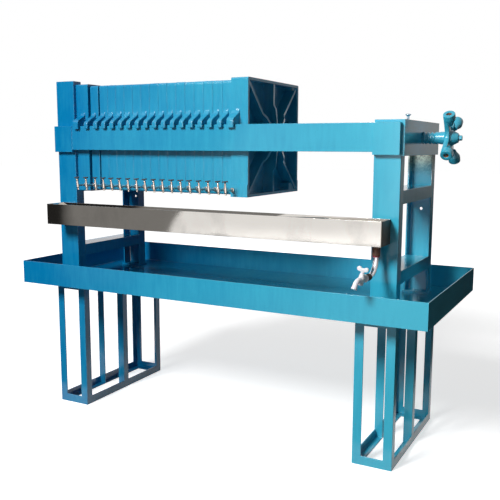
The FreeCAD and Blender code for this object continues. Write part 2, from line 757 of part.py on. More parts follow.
def tap_body():
    """A bib tap: inlet collar, barrel, bonnet, lower plug and a spout curved down."""
    def ahead(distance, z):
        return V(x_outlet, y_outlet - distance, z)

    sides = pipe_sides
    corner = ahead(f_bend, z_tap)
    curve = bend(sides, tap_spout_diameter, corner, Y_AXIS,
                 corner - Z_AXIS * tap_spout_radius, tap_spout_turn)
    onward = V(0, -math.cos(spout_turn), -math.sin(spout_turn))
    spout = ahead(f_bend + tap_spout_radius * math.sin(spout_turn),
                  z_tap - tap_spout_radius * (1 - math.cos(spout_turn)))
    tip = spout + onward * tap_spout_run
    pieces = [prism(sides, tap_collar_diameter, tap_collar_length,
                    ahead(f_collar, z_tap), -Y_AXIS),
              prism(sides, tap_barrel_diameter, tap_barrel_length,
                    ahead(f_barrel, z_tap), -Y_AXIS),
              prism(sides, tap_bonnet_diameter, tap_bonnet_height, ahead(f_plug, z_tap), Z_AXIS),
              prism(sides, tap_plug_diameter, tap_plug_drop, ahead(f_plug, z_tap), -Z_AXIS),
              curve,
              prism(sides, tap_spout_diameter, tap_spout_run, spout, onward),
              prism(sides, tap_tip_diameter, tap_tip_length, tip, onward)]
    return turned_outlet(fuse(pieces), tap_lean)


def tap_handle():
    """The butterfly handle on the bonnet: two wings that rise from a narrow waist."""
    z0 = z_tap + tap_bonnet_height + tap_handle_gap
    half = tap_handle_length / 2
    waist = tap_handle_waist / 2
    y0 = y_outlet - f_plug - tap_handle_thickness / 2
    z_wing = z0 + tap_handle_height / 3
    z_top = z0 + tap_handle_height
    outline = [(-waist, z0), (waist, z0), (waist, z_wing - 2), (half - 4, z_wing),
               (half, z_wing + 5), (half, z_top - 4), (half - 4, z_top), (half - 10, z_top),
               (waist, z_top - 5), (-waist, z_top - 5), (10 - half, z_top), (4 - half, z_top),
               (-half, z_top - 4), (-half, z_wing + 5), (4 - half, z_wing), (-waist, z_wing - 2)]
    wing = polygon_face([V(x_outlet + x, y0, z) for x, z in outline])
    return turned_outlet(wing.extrude(Y_AXIS * tap_handle_thickness), tap_lean)


# ---------------------------------------------------------------- the whole press
def plate_starts():
    """The left face of each filter plate."""
    starts = [x_first_plate]
    for index in range(plate_count - 1):
        starts.append(x_second_plate + index * plate_pitch)
    return starts


def pieces():
    """Every node's name and shape."""
    plate_bottom = press_axis_height - plate_height / 2
    made = {
        "left_leg_frame": leg_frame(x_left_legs),
        "right_leg_frame": leg_frame(x_right_legs),
        "drip_tray": drip_tray(),
        "front_left_post": post(x_left_posts, -1, left_post_top),
        "back_left_post": back_post(x_left_posts, left_post_top),
        "front_right_post": post(x_right_posts, -1, z_right_post_top),
        "back_right_post": back_post(x_right_posts, z_right_post_top),
        "left_cross_rungs": cross_rungs(x_left_posts),
        "right_cross_rungs": cross_rungs(x_right_posts),
        "front_side_beam": side_beam(-1),
        "back_side_beam": side_beam(1),
        "crosshead": crosshead(),
        "screw_nut": screw_nut(),
        "oil_bolt": oil_bolt(),
        "fixed_head": fixed_head(),
        "fixed_head_cock": drain_cock(x_fixed_face - fixed_cock_place, head_width / 2,
                                      plate_bottom),
        "moving_head": moving_head(),
        "moving_head_cock": drain_cock(x_moving_face + moving_cock_place,
                                       head_width / 2 + head_band_proud, plate_bottom),
        "press_screw": press_screw(),
        "hand_wheel": hand_wheel(),
        "wheel_nut": wheel_nut(),
        "collecting_trough": collecting_trough(),
        "outlet_socket": outlet_socket(),
        "outlet_elbow": outlet_elbow(),
        "tap_body": tap_body(),
        "tap_handle": tap_handle(),
    }
    for number, start in enumerate(plate_starts(), 1):
        made[f"filter_plate_{number:02d}"] = filter_plate(start)
        x_cock = start + plate_thickness / 2 - cock_offset
        made[f"plate_cock_{number:02d}"] = drain_cock(x_cock, plate_width / 2, plate_bottom)
    return made


def main():
    """Write one STEP file for each piece."""
    os.makedirs("parts", exist_ok=True)
    for name, shape in pieces().items():
        shape.translate(V(0, press_shift, 0))
        shape.exportStep(f"parts/{name}.step")
        print(f"{name:20s} solids {len(shape.Solids)} volume {shape.Volume / 1e6:.3f} dm3"
              f" valid {shape.isValid()}")


main()
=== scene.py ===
import json
import math

import bmesh
import bpy
import numpy as np
from bpy.props import FloatProperty, FloatVectorProperty, PointerProperty
from mathutils import Matrix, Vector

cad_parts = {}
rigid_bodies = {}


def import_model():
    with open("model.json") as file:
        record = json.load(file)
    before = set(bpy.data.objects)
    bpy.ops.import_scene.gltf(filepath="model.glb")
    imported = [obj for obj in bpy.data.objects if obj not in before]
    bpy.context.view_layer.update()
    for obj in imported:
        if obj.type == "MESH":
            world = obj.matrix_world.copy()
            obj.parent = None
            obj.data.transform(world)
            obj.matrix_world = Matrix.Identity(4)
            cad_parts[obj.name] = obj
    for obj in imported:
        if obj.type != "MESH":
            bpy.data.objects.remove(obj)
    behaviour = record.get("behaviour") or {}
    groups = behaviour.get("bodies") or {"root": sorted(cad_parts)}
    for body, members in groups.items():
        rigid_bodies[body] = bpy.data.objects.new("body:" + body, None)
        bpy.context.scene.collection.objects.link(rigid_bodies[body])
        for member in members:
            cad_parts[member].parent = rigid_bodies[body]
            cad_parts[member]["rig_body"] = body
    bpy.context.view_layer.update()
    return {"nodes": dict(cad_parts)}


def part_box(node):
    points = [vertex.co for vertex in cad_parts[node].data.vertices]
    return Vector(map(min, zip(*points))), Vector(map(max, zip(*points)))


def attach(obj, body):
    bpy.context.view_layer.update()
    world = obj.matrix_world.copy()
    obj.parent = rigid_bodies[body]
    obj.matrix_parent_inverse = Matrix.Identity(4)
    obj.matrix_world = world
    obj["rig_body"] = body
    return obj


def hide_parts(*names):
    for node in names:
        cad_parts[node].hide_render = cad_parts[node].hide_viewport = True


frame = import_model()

bl_info = {
    "name": "Plate Filter Press",
    "version": (1, 0, 0),
    "blender": (4, 5, 0),
    "location": "3D View > Sidebar > Filter Press",
    "description": "Dresses the plate filter press with its cast, turned and painted pieces",
    "category": "Object",
}

MM = 0.001
PLATES = 16
X_AXIS = np.array([1.0, 0.0, 0.0])
Y_AXIS = np.array([0.0, 1.0, 0.0])
Z_AXIS = np.array([0.0, 0.0, 1.0])


# ---------------- places read from the frame
def corners(node):
    """Lowest and highest corner of a node, as arrays."""
    low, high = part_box(node)
    return np.array(low), np.array(high)


TRAY_LOW, TRAY_HIGH = corners("drip_tray")
SCREW_LOW, SCREW_HIGH = corners("press_screw")
AXIS_Y = (SCREW_LOW[1] + SCREW_HIGH[1]) / 2
AXIS_Z = (SCREW_LOW[2] + SCREW_HIGH[2]) / 2


# ---------------- sizes and colours
class PressSizes(bpy.types.PropertyGroup):
    """Sizes of the turned and cast pieces."""

    edge_round: FloatProperty(name="Edge rounding", default=1.4 * MM, min=0.0, subtype="DISTANCE",
                              unit="LENGTH", description="Rounding of the sections' edges")
    thread_pitch: FloatProperty(name="Thread pitch", default=15.0 * MM, min=1 * MM,
                                subtype="DISTANCE", unit="LENGTH",
                                description="Distance between the screw's thread crests")
    thread_depth: FloatProperty(name="Thread depth", default=3.6 * MM, min=0.0,
                                subtype="DISTANCE", unit="LENGTH",
                                description="Depth of the screw's thread")
    cock_lean: FloatProperty(name="Cock lean", default=math.radians(6), subtype="ANGLE",
                             unit="ROTATION", description="How far the cocks lean out of plumb")
    bore: FloatProperty(name="Bar socket bore", default=19 * MM, subtype="DISTANCE",
                        unit="LENGTH", description="Bore of the hand wheel's four sockets")

class PressColours(bpy.types.PropertyGroup):
    """Colours of the press's finishes."""

    enamel: FloatVectorProperty(name="Enamel", subtype="COLOR", size=4,
                                default=(0.045, 0.45, 0.62, 1), min=0, max=1,
                                description="Blue enamel in full light")
    # The deep colour is partly the enamel's own random darker tone and specks, and partly painted
    # shade: the enamel runs from it at the left end to the lit blue at the right end.
    enamel_deep_and_shaded: FloatVectorProperty(name="Deep and shaded enamel", subtype="COLOR", size=4,
                                     default=(0.0, 0.165, 0.37, 1), min=0, max=1,
                                     description="Blue enamel where it is thick")
    steel: FloatVectorProperty(name="Stainless", subtype="COLOR", size=4,
                               default=(0.70, 0.67, 0.63, 1), min=0, max=1,
                               description="Polished stainless sheet")
    chrome: FloatVectorProperty(name="Chrome", subtype="COLOR", size=4,
                                default=(0.60, 0.51, 0.45, 1), min=0, max=1,
                                description="Tarnished plate of the cocks")
    plastic: FloatVectorProperty(name="Plastic", subtype="COLOR", size=4,
                                 default=(0.86, 0.86, 0.89, 1), min=0, max=1,
                                 description="White plastic of the tap")
    rust: FloatVectorProperty(name="Rust", subtype="COLOR", size=4,
                              default=(0.16, 0.06, 0.025, 1), min=0, max=1,
                              description="Rusty iron")


# ---------------- surfaces
def unit(vector):
    """A vector scaled to length one."""
    vector = np.asarray(vector, float)
    return vector / np.linalg.norm(vector, axis=-1, keepdims=True)


def across(axis):
    """Two unit directions square to an axis and to each other."""
    axis = unit(axis)
    seed = Z_AXIS if abs(axis[2]) < 0.9 else X_AXIS
    first = unit(np.cross(seed, axis))
    return first, np.cross(axis, first)


def eased(points, reach, steps=4, closed=False):
    """A polyline with its corners rounded.
    Each corner P becomes (1-t)^2 A + 2t(1-t) P + t^2 B, with A and B the reach before and after P."""
    points = np.asarray(points, float)
    before = np.roll(points, 1, axis=0)
    after = np.roll(points, -1, axis=0)
    reach = np.broadcast_to(np.asarray(reach, float), (len(points),))
    back = np.linalg.norm(before - points, axis=1)
    forth = np.linalg.norm(after - points, axis=1)
    cut = np.minimum(reach, 0.46 * np.minimum(back, forth))[:, None]
    start = points + (before - points) / back[:, None] * cut
    end = points + (after - points) / forth[:, None] * cut
    t = np.linspace(0, 1, steps)[None, :, None]
    arcs = (1 - t) ** 2 * start[:, None] + 2 * t * (1 - t) * points[:, None] + t ** 2 * end[:, None]
    if closed:
        return arcs.reshape(-1, points.shape[1])
    middle = arcs[1:-1].reshape(-1, points.shape[1])
    return np.vstack([points[:1], middle, points[-1:]])


def ripple(points, size, seed, waves=9):
    """Smooth unevenness between -1 and 1: the mean of sines of k·p + phase,
    with seeded directions k whose wavelengths lie round the given size (one or three lengths)."""
    random = np.random.default_rng(seed)
    spin = random.normal(size=(3, waves))
    spin /= np.linalg.norm(spin, axis=0)
    wave = 2 * np.pi / (np.broadcast_to(np.asarray(size, float), (3,))[:, None])
    k = spin * wave * random.uniform(0.6, 1.6, (1, waves))
    phase = random.uniform(0, 2 * np.pi, waves)
    return np.sin(np.asarray(points) @ k + phase).mean(-1) * 1.8


def turned(profile, origin, axis, sides):
    """A surface of revolution: point(s, t) = origin + h(s) axis + r(s) (u cos t + v sin t)."""
    profile = np.asarray(profile, float)
    axis = unit(axis)
    u, v = across(axis)
    t = np.linspace(0, 2 * np.pi, sides, endpoint=False)
    ring = np.cos(t)[:, None] * u + np.sin(t)[:, None] * v
    return (np.asarray(origin, float) + profile[:, 0, None, None] * axis
            + profile[:, 1, None, None] * ring[None])


def carried(section, path, up, scale=None):
    """A section carried along a path: point(s, t) = path(s) + scale(s) (a(t) side + b(t) up'),
    with side square to the path and to the up direction."""
    path = np.asarray(path, float)
    tangent = unit(np.gradient(path, axis=0))
    side = unit(np.cross(tangent, np.broadcast_to(up, tangent.shape)))
    rise = np.cross(side, tangent)
    scale = np.ones(len(path)) if scale is None else np.asarray(scale, float)
    section = np.asarray(section, float)
    return (path[:, None] + scale[:, None, None]
            * (section[None, :, 0, None] * side[:, None] + section[None, :, 1, None] * rise[:, None]))


def circle(radius, sides):
    """A round section: (r cos t, r sin t)."""
    t = np.linspace(0, 2 * np.pi, sides, endpoint=False)
    return np.stack([radius * np.cos(t), radius * np.sin(t)], -1)


def moved_in(outline, distance):
    """A closed flat outline moved inwards: P - distance n, with n square to its neighbours' line."""
    ahead = np.roll(outline, -1, axis=0) - np.roll(outline, 1, axis=0)
    length = np.linalg.norm(ahead, axis=1, keepdims=True)
    normal = np.stack([ahead[:, 1], -ahead[:, 0]], -1) / np.maximum(length, 1e-9)
    turning = np.sum(outline[:, 0] * np.roll(outline[:, 1], -1)
                     - outline[:, 1] * np.roll(outline[:, 0], -1))
    return outline - normal * distance * np.sign(turning)


def evenly(outline, count):
    """A closed outline's points spaced evenly by its length."""
    loop = np.vstack([outline, outline[:1]])
    run = np.concatenate([[0], np.cumsum(np.linalg.norm(np.diff(loop, axis=0), axis=1))])
    at = np.linspace(0, run[-1], count, endpoint=False)
    return np.stack([np.interp(at, run, loop[:, axis]) for axis in range(loop.shape[1])], -1)


def shell(rings, finish=0, wrap=False):
    """Joins neighbouring rings with quads; the ends are capped, or joined where it wraps."""
    rings = np.asarray(rings, float)
    count, sides = rings.shape[:2]
    index = np.arange(count * sides).reshape(count, sides)
    rows = np.vstack([index, index[:1]]) if wrap else index
    low, high = rows[:-1], rows[1:]
    quads = np.stack([low, np.roll(low, -1, 1), np.roll(high, -1, 1), high], -1)
    faces = quads.reshape(-1, 4).tolist()
    if not wrap:
        faces += [index[0][::-1].tolist(), index[-1].tolist()]
    return rings.reshape(-1, 3), faces, finish


def put(name, shells, materials, body, slot, nodes=(), crease=35.0):
    """Makes one object of several shells, rides it on its body and hides the nodes it stands for."""
    points, faces, finishes, start = [], [], [], 0
    for part_points, part_faces, finish in shells:
        points.append(part_points)
        faces += [[corner + start for corner in face] for face in part_faces]
        finishes += [finish] * len(part_faces)
        start += len(part_points)
    mesh = bpy.data.meshes.new(name)
    mesh.from_pydata(np.vstack(points).tolist(), [], faces)
    mesh.polygons.foreach_set("material_index", np.array(finishes, np.int32))
    work = bmesh.new()
    work.from_mesh(mesh)
    bmesh.ops.remove_doubles(work, verts=work.verts, dist=1e-6)
    bmesh.ops.recalc_face_normals(work, faces=work.faces)
    work.to_mesh(mesh)
    work.free()
    return place(name, mesh, materials, body, slot, nodes, crease)


def place(name, mesh, materials, body, slot, nodes, crease):
    """Links a finished mesh as an object of the press."""
    mesh.shade_smooth()
    mesh.set_sharp_from_angle(angle=math.radians(crease))
    for material in materials:
        mesh.materials.append(material)
    made = bpy.data.objects.new(name, mesh)
    bpy.context.scene.collection.objects.link(made)
    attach(made, body)
    if nodes:
        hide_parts(*nodes)
    return made


def softened(node, material, width, segments=2, slot="blue_enamel"):
    """A copy of a node's shape with its corners rounded, which stands for the node."""
    source = frame["nodes"][node]
    mesh = source.data.copy()
    mesh.materials.clear()
    work = bmesh.new()
    work.from_mesh(mesh)
    bmesh.ops.remove_doubles(work, verts=work.verts, dist=2e-5)
    bmesh.ops.dissolve_limit(work, angle_limit=math.radians(1.0), verts=work.verts,
                             edges=work.edges)
    bmesh.ops.recalc_face_normals(work, faces=work.faces)
    work.to_mesh(mesh)
    work.free()
    made = place(node + "_rounded", mesh, [material], source["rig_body"], slot, [node], 35.0)
    bevel = made.modifiers.new("Rounded edges", "BEVEL")
    bevel.width = width
    bevel.segments = segments
    bevel.limit_method = "ANGLE"
    bevel.angle_limit = math.radians(28)
    bevel.harden_normals = True
    return made


# ---------------- finishes
def add(tree, kind, inputs=None, **settings):
    """Adds a node with its settings, and sets or links its inputs."""
    made = tree.nodes.new(kind)
    for key, value in settings.items():
        setattr(made, key, value)
    for key, value in (inputs or {}).items():
        socket = made.inputs[key]
        if isinstance(value, bpy.types.NodeSocket):
            tree.links.new(value, socket)
        else:
            socket.default_value = value
    return made


def begin(name):
    """A new material with only an output: its tree and its Object coordinates."""
    material = bpy.data.materials.new(name)
    material.use_nodes = True
    tree = material.node_tree
    tree.nodes.clear()
    return material, tree, add(tree, "ShaderNodeTexCoord").outputs["Object"]


def noise(tree, place, scale, detail=3.0, rough=0.55, stretch=None, offset=(0, 0, 0)):
    """Noise over the piece, stretched where wanted."""
    if stretch or any(offset):
        place = add(tree, "ShaderNodeMapping", {"Vector": place, "Scale": stretch or (1, 1, 1),
                                                "Location": offset}).outputs[0]
    return add(tree, "ShaderNodeTexNoise", {"Vector": place, "Scale": scale, "Detail": detail,
                                            "Roughness": rough}).outputs["Fac"]


def remap(tree, value, low, high, out_low=0.0, out_high=1.0, smooth=False):
    """Maps a range of values to another, clamped."""
    kind = "SMOOTHSTEP" if smooth else "LINEAR"
    return add(tree, "ShaderNodeMapRange", {"Value": value, 1: low, 2: high, 3: out_low,
                                            4: out_high}, interpolation_type=kind).outputs[0]


def sums(tree, operation, first, second, third=None):
    """One arithmetic step."""
    inputs = {0: first, 1: second}
    if third is not None:
        inputs[2] = third
    return add(tree, "ShaderNodeMath", inputs, operation=operation).outputs[0]


def blend(tree, factor, first, second, kind="MIX"):
    """Mixes two colours."""
    made = add(tree, "ShaderNodeMix", {0: factor}, data_type="RGBA", blend_type=kind)
    for key, value in ((6, first), (7, second)):
        if isinstance(value, bpy.types.NodeSocket):
            tree.links.new(value, made.inputs[key])
        else:
            made.inputs[key].default_value = value
    return made.outputs[2]


def close(material, tree, inputs, heights=()):
    """Ends a material: bumps of the given (height, distance, strength), then the shader."""
    normal = None
    for height, distance, strength in heights:
        bump_inputs = {"Height": height, "Distance": distance, "Strength": strength}
        if normal is not None:
            bump_inputs["Normal"] = normal
        normal = add(tree, "ShaderNodeBump", bump_inputs).outputs[0]
    if normal is not None:
        inputs = dict(inputs, Normal=normal)
    shader = add(tree, "ShaderNodeBsdfPrincipled", inputs)
    add(tree, "ShaderNodeOutputMaterial", {"Surface": shader.outputs[0]})
    return material


def tinted(colour, factor):
    """A colour made lighter or darker."""
    return tuple(min(1.0, c * factor) for c in colour[:3]) + (1.0,)


def enamel(name, rough_cast=0.0, ticks=0.0, flaked=None, tone=1.0):
    """Brushed blue enamel: cloudy colour with streaks and orange peel, darkened by painted shade
    towards the left end and lightened by painted light towards the right end, and where wanted cast
    lumps, ticks of rust and a flaked band between two heights."""
    colours = bpy.context.scene.press_colours
    material, tree, place = begin(name)
    axes = add(tree, "ShaderNodeSeparateXYZ", {0: place}).outputs
    # Painted light: the colour runs from the shaded deep blue at the tray's left end to the lit blue
    # at its right end, on top of the random cloudy and streaked tone.
    along = remap(tree, axes["X"], TRAY_LOW[0], TRAY_HIGH[0], -0.45, 0.62)
    clouds = noise(tree, place, 3.2, 4.0)
    streaks = noise(tree, place, 6.0, 4.0, 0.6, stretch=(9, 9, 1.2))
    tone_and_painted_light = sums(tree, "MULTIPLY_ADD", clouds, 0.5, along)
    tone_and_painted_light = sums(tree, "MULTIPLY_ADD", streaks, 0.4, tone_and_painted_light)
    tone_and_painted_light = remap(tree, tone_and_painted_light, 0.0, 1.0)
    colour = blend(tree, tone_and_painted_light, tinted(colours.enamel_deep_and_shaded, tone), tinted(colours.enamel, tone))
    fine = noise(tree, place, 420.0, 2.0)
    colour = blend(tree, remap(tree, fine, 0.62, 0.8, 0.0, 0.35), colour,
                   tinted(colours.enamel_deep_and_shaded, 0.5))
    gloss = remap(tree, clouds, 0.3, 0.7, 0.09, 0.2)
    if ticks:
        spots = noise(tree, place, 34.0, 5.0, 0.7)
        spots = remap(tree, spots, 0.72 - 0.06 * ticks, 0.78, 0.0, 1.0)
        colour = blend(tree, spots, colour, colours.rust)
        gloss = sums(tree, "MAXIMUM", gloss, sums(tree, "MULTIPLY", spots, 0.7))
    if flaked:
        low, high = flaked
        band = remap(tree, axes["Z"], low, high, 0.0, 1.0, smooth=True)
        flakes = remap(tree, noise(tree, place, 110.0, 6.0, 0.8), 0.42, 0.58)
        worn = blend(tree, flakes, (0.16, 0.13, 0.09, 1), (0.50, 0.56, 0.44, 1))
        colour = blend(tree, sums(tree, "MULTIPLY", band, 0.9), colour, worn)
        gloss = sums(tree, "MULTIPLY_ADD", band, 0.4, gloss)
    peel = noise(tree, place, 260.0, 2.0)
    heights = [(peel, 0.25 * MM, 0.25), (clouds, 4 * MM, 0.25)]
    if rough_cast:
        wrinkles = noise(tree, place, 5.0, 5.0, 0.6, stretch=(16, 16, 1.6))
        lumps = noise(tree, place, 120.0, 4.0, 0.6)
        heights += [(wrinkles, 2.5 * MM, 0.5 * rough_cast), (lumps, 1.0 * MM, 0.6 * rough_cast)]
    return close(material, tree, {"Base Color": colour, "Roughness": gloss, "IOR": 1.5}, heights)


def stainless(name):
    """Polished sheet: fine grinding lines along it, smears, a slight buckle, and its right end
    darkened to near black with a rougher gloss.
    """
    steel = bpy.context.scene.press_colours.steel
    material, tree, place = begin(name)
    lines = noise(tree, place, 20.0, 3.0, 0.7, stretch=(0.6, 40, 40))
    smears = noise(tree, place, 7.0, 5.0, 0.65, stretch=(1, 1, 0.6), offset=(3, 0, 0))
    stains = remap(tree, smears, 0.5, 0.75, 0.0, 0.45)
    colour = blend(tree, stains, steel, tinted(steel, 0.62))
    colour = blend(tree, remap(tree, lines, 0.45, 0.8, 0.0, 0.25), colour, tinted(steel, 0.8))
    gloss = sums(tree, "MULTIPLY_ADD", smears, 0.1, 0.0)
    # The last millimetres of the right end are darkened to near black, mottled by the smears, and
    # made rougher.
    end = corners("collecting_trough")[1][0] - 3.5 * MM
    along = add(tree, "ShaderNodeSeparateXYZ", {0: place}).outputs["X"]
    dark_end_mask = remap(tree, along, end, end + 1.5 * MM)
    dark_end_colour = blend(tree, remap(tree, smears, 0.4, 0.65), (0.05, 0.055, 0.05, 1),
                  (0.12, 0.10, 0.085, 1))
    colour = blend(tree, dark_end_mask, colour, dark_end_colour)
    gloss = sums(tree, "MULTIPLY_ADD", dark_end_mask, 0.4, gloss)
    buckle = noise(tree, place, 3.0, 2.0, 0.4)
    return close(material, tree, {"Base Color": colour, "Roughness": gloss, "Metallic": 1.0},
                 [(buckle, 12 * MM, 0.14), (lines, 0.05 * MM, 0.2)])


def bright_metal(name, colour, low=0.05, high=0.2, spots=(0.2, 0.11, 0.07, 1), share=0.35):
    """Plated metal with cloudy gloss and small spots of tarnish."""
    material, tree, place = begin(name)
    clouds = noise(tree, place, 60.0, 3.0)
    tarnish = remap(tree, noise(tree, place, 170.0, 4.0, 0.7), 0.55, 0.72, 0.0, share)
    mixed = blend(tree, tarnish, colour, spots)
    gloss = remap(tree, clouds, 0.3, 0.7, low, high)
    return close(material, tree, {"Base Color": mixed, "Roughness": gloss, "Metallic": 1.0},
                 [(clouds, 0.3 * MM, 0.2)])


def iron(name, dark, bright, scale=120.0, bump=0.8, metal=0.0):
    """Rusty or blackened iron: two colours broken up by rough noise."""
    material, tree, place = begin(name)
    grain = noise(tree, place, scale, 6.0, 0.72)
    patches = noise(tree, place, scale / 5, 3.0)
    mixed = blend(tree, remap(tree, grain, 0.38, 0.64), dark, bright)
    mixed = blend(tree, remap(tree, patches, 0.45, 0.65, 0.0, 0.5), mixed, tinted(dark, 0.6))
    gloss = remap(tree, grain, 0.3, 0.7, 0.45, 0.85)
    return close(material, tree, {"Base Color": mixed, "Roughness": gloss, "Metallic": metal},
                 [(grain, 0.6 * MM, bump)])


def plastic(name, colour):
    """Moulded plastic: faint mottling, a soft gloss and a little light let through."""
    material, tree, place = begin(name)
    mottle = noise(tree, place, 90.0, 3.0)
    mixed = blend(tree, remap(tree, mottle, 0.4, 0.7, 0.0, 0.5), colour, tinted(colour, 0.9))
    gloss = remap(tree, mottle, 0.3, 0.7, 0.22, 0.36)
    return close(material, tree,
                 {"Base Color": mixed, "Roughness": gloss, "Subsurface Weight": 0.12,
                  "Subsurface Scale": 0.004, "IOR": 1.46},
                 [(mottle, 0.15 * MM, 0.2)])


def finishes():
    """Every finish of the press, made once and found again by name."""
    names = bpy.data.materials
    if "press stainless" in names:
        return {m.name[6:]: m for m in names if m.name.startswith("press ")}
    colours = bpy.context.scene.press_colours
    rust = tuple(colours.rust)
    made = [
        enamel("press enamel section"),
        enamel("press enamel worn", ticks=0.4),
        enamel("press enamel leg", ticks=1.0),
        enamel("press enamel flaked", flaked=(AXIS_Z - 0.17, AXIS_Z - 0.07)),
        enamel("press enamel cast", rough_cast=1.0),
        enamel("press enamel head", rough_cast=0.8),
        enamel("press enamel wheel", rough_cast=0.35, tone=0.9),
        stainless("press stainless"),
        bright_metal("press chrome", tuple(colours.chrome)),
        bright_metal("press galvanised", (0.78, 0.76, 0.78, 1), 0.12, 0.28,
                     (0.25, 0.2, 0.18, 1), 0.5),
        bright_metal("press zinc", (0.55, 0.60, 0.66, 1), 0.22, 0.4, (0.3, 0.3, 0.3, 1), 0.3),
        iron("press key iron", (0.012, 0.012, 0.014, 1), (0.05, 0.045, 0.042, 1), 200.0, 0.4),
        iron("press rust", tinted(rust, 0.35), rust),
        iron("press orange rust", tinted(rust, 1.2), (0.42, 0.12, 0.03, 1)),
        iron("press dark nipple", (0.008, 0.006, 0.005, 1), (0.055, 0.03, 0.02, 1), 90.0, 0.6),
        iron("press red tape", (0.30, 0.01, 0.03, 1), (0.55, 0.03, 0.08, 1), 300.0, 0.3),
        iron("press heat tint", (0.10, 0.05, 0.025, 1), (0.42, 0.28, 0.17, 1), 80.0, 0.5, 0.6),
        plastic("press white plastic", tuple(colours.plastic)),
    ]
    return {m.name[6:]: m for m in made}


# ---------------- operators
class PRESS_OT_stage(bpy.types.Operator):
    """Makes the floor, the soft studio light and the camera"""

    bl_idname = "press.stage"
    bl_label = "Studio Stage"

    def execute(self, context):
        scene = context.scene
        scene.view_settings.view_transform = "Standard"
        make_world(scene)
        make_floor()
        make_lamps()
        make_cards()
        make_camera(scene)
        return {"FINISHED"}


def make_world(scene):
    """A white background for the camera and for reflections, and a soft even light."""
    world = bpy.data.worlds.new("studio")
    world.use_nodes = True
    scene.world = world
    tree = world.node_tree
    tree.nodes.clear()
    rays = add(tree, "ShaderNodeLightPath").outputs
    seen = sums(tree, "MAXIMUM", rays["Is Camera Ray"], rays["Is Glossy Ray"])
    seen = sums(tree, "MAXIMUM", seen, rays["Is Transmission Ray"])
    soft = add(tree, "ShaderNodeBackground", {"Color": (0.95, 0.98, 1.0, 1), "Strength": 0.05})
    white = add(tree, "ShaderNodeBackground", {"Color": (1, 1, 1, 1), "Strength": 1.0})
    mixed = add(tree, "ShaderNodeMixShader", {0: seen, 1: soft.outputs[0], 2: white.outputs[0]})
    add(tree, "ShaderNodeOutputWorld", {"Surface": mixed.outputs[0]})


def flat_object(name, points, material):
    """A flat stage piece with one face."""
    mesh = bpy.data.meshes.new(name)
    mesh.from_pydata([tuple(p) for p in points], [], [tuple(range(len(points)))])
    mesh.materials.append(material)
    made = bpy.data.objects.new(name, mesh)
    bpy.context.scene.collection.objects.link(made)
    return made


def make_floor():
    """A plain pale floor that keeps the soft shadow near the press and is white far from it."""
    material, tree, place = begin("studio floor")
    rays = add(tree, "ShaderNodeLightPath").outputs
    distance = add(tree, "ShaderNodeVectorMath", {0: place}, operation="LENGTH").outputs["Value"]
    mottle = noise(tree, place, 4.0, 2.0)
    pale = blend(tree, mottle, (0.86, 0.86, 0.86, 1), (0.89, 0.89, 0.89, 1))
    pale = blend(tree, rays["Is Diffuse Ray"], pale, (0.2, 0.2, 0.2, 1))
    matt = add(tree, "ShaderNodeBsdfDiffuse", {"Color": pale})
    seen = sums(tree, "MAXIMUM", rays["Is Camera Ray"], rays["Is Glossy Ray"])
    glow = sums(tree, "MULTIPLY", seen,
                remap(tree, distance, 1.2, 4.5, 0.66, 1.0, smooth=True))
    white = add(tree, "ShaderNodeEmission", {"Color": (1, 1, 1, 1), "Strength": glow})
    both = add(tree, "ShaderNodeAddShader", {0: matt.outputs[0], 1: white.outputs[0]})
    add(tree, "ShaderNodeOutputMaterial", {"Surface": both.outputs[0]})
    reach = 30.0
    flat_object("floor", [(-reach, -reach, 0), (reach, -reach, 0), (reach, reach, 0),
                          (-reach, reach, 0)], material)


def make_lamps():
    """Large soft lamps: a key high at the front left, a fill at the front, one above and one
    behind. Only the key shows in reflections."""
    for name, spot, aim, size, watts, mirrored in (
            ("key", (-1.3, -5.2, 4.3), (0.0, -0.2, 1.0), (1.7, 1.7), 470.0, True),
            ("fill", (0.2, -5.0, 1.2), (0.0, 0.0, 0.8), (3.0, 2.0), 9.0, False),
            ("top", (0.3, -0.2, 4.2), (0.0, 0.0, 0.8), (3.0, 3.0), 5.0, False),
            ("back", (-3.0, 4.6, 1.6), (0.0, 0.0, 0.8), (2.5, 2.5), 40.0, False)):
        lamp = bpy.data.lights.new(name, "AREA")
        lamp.shape = "RECTANGLE"
        lamp.size, lamp.size_y = size
        lamp.energy = watts
        made = bpy.data.objects.new(name, lamp)
        made.visible_glossy = mirrored
        bpy.context.scene.collection.objects.link(made)
        back = unit(np.array(spot) - np.array(aim))
        side = unit(np.cross(Z_AXIS, back))
        up = np.cross(back, side)
        made.matrix_world = Matrix([(side[i], up[i], back[i], spot[i]) for i in range(3)]
                                   + [(0, 0, 0, 1)])


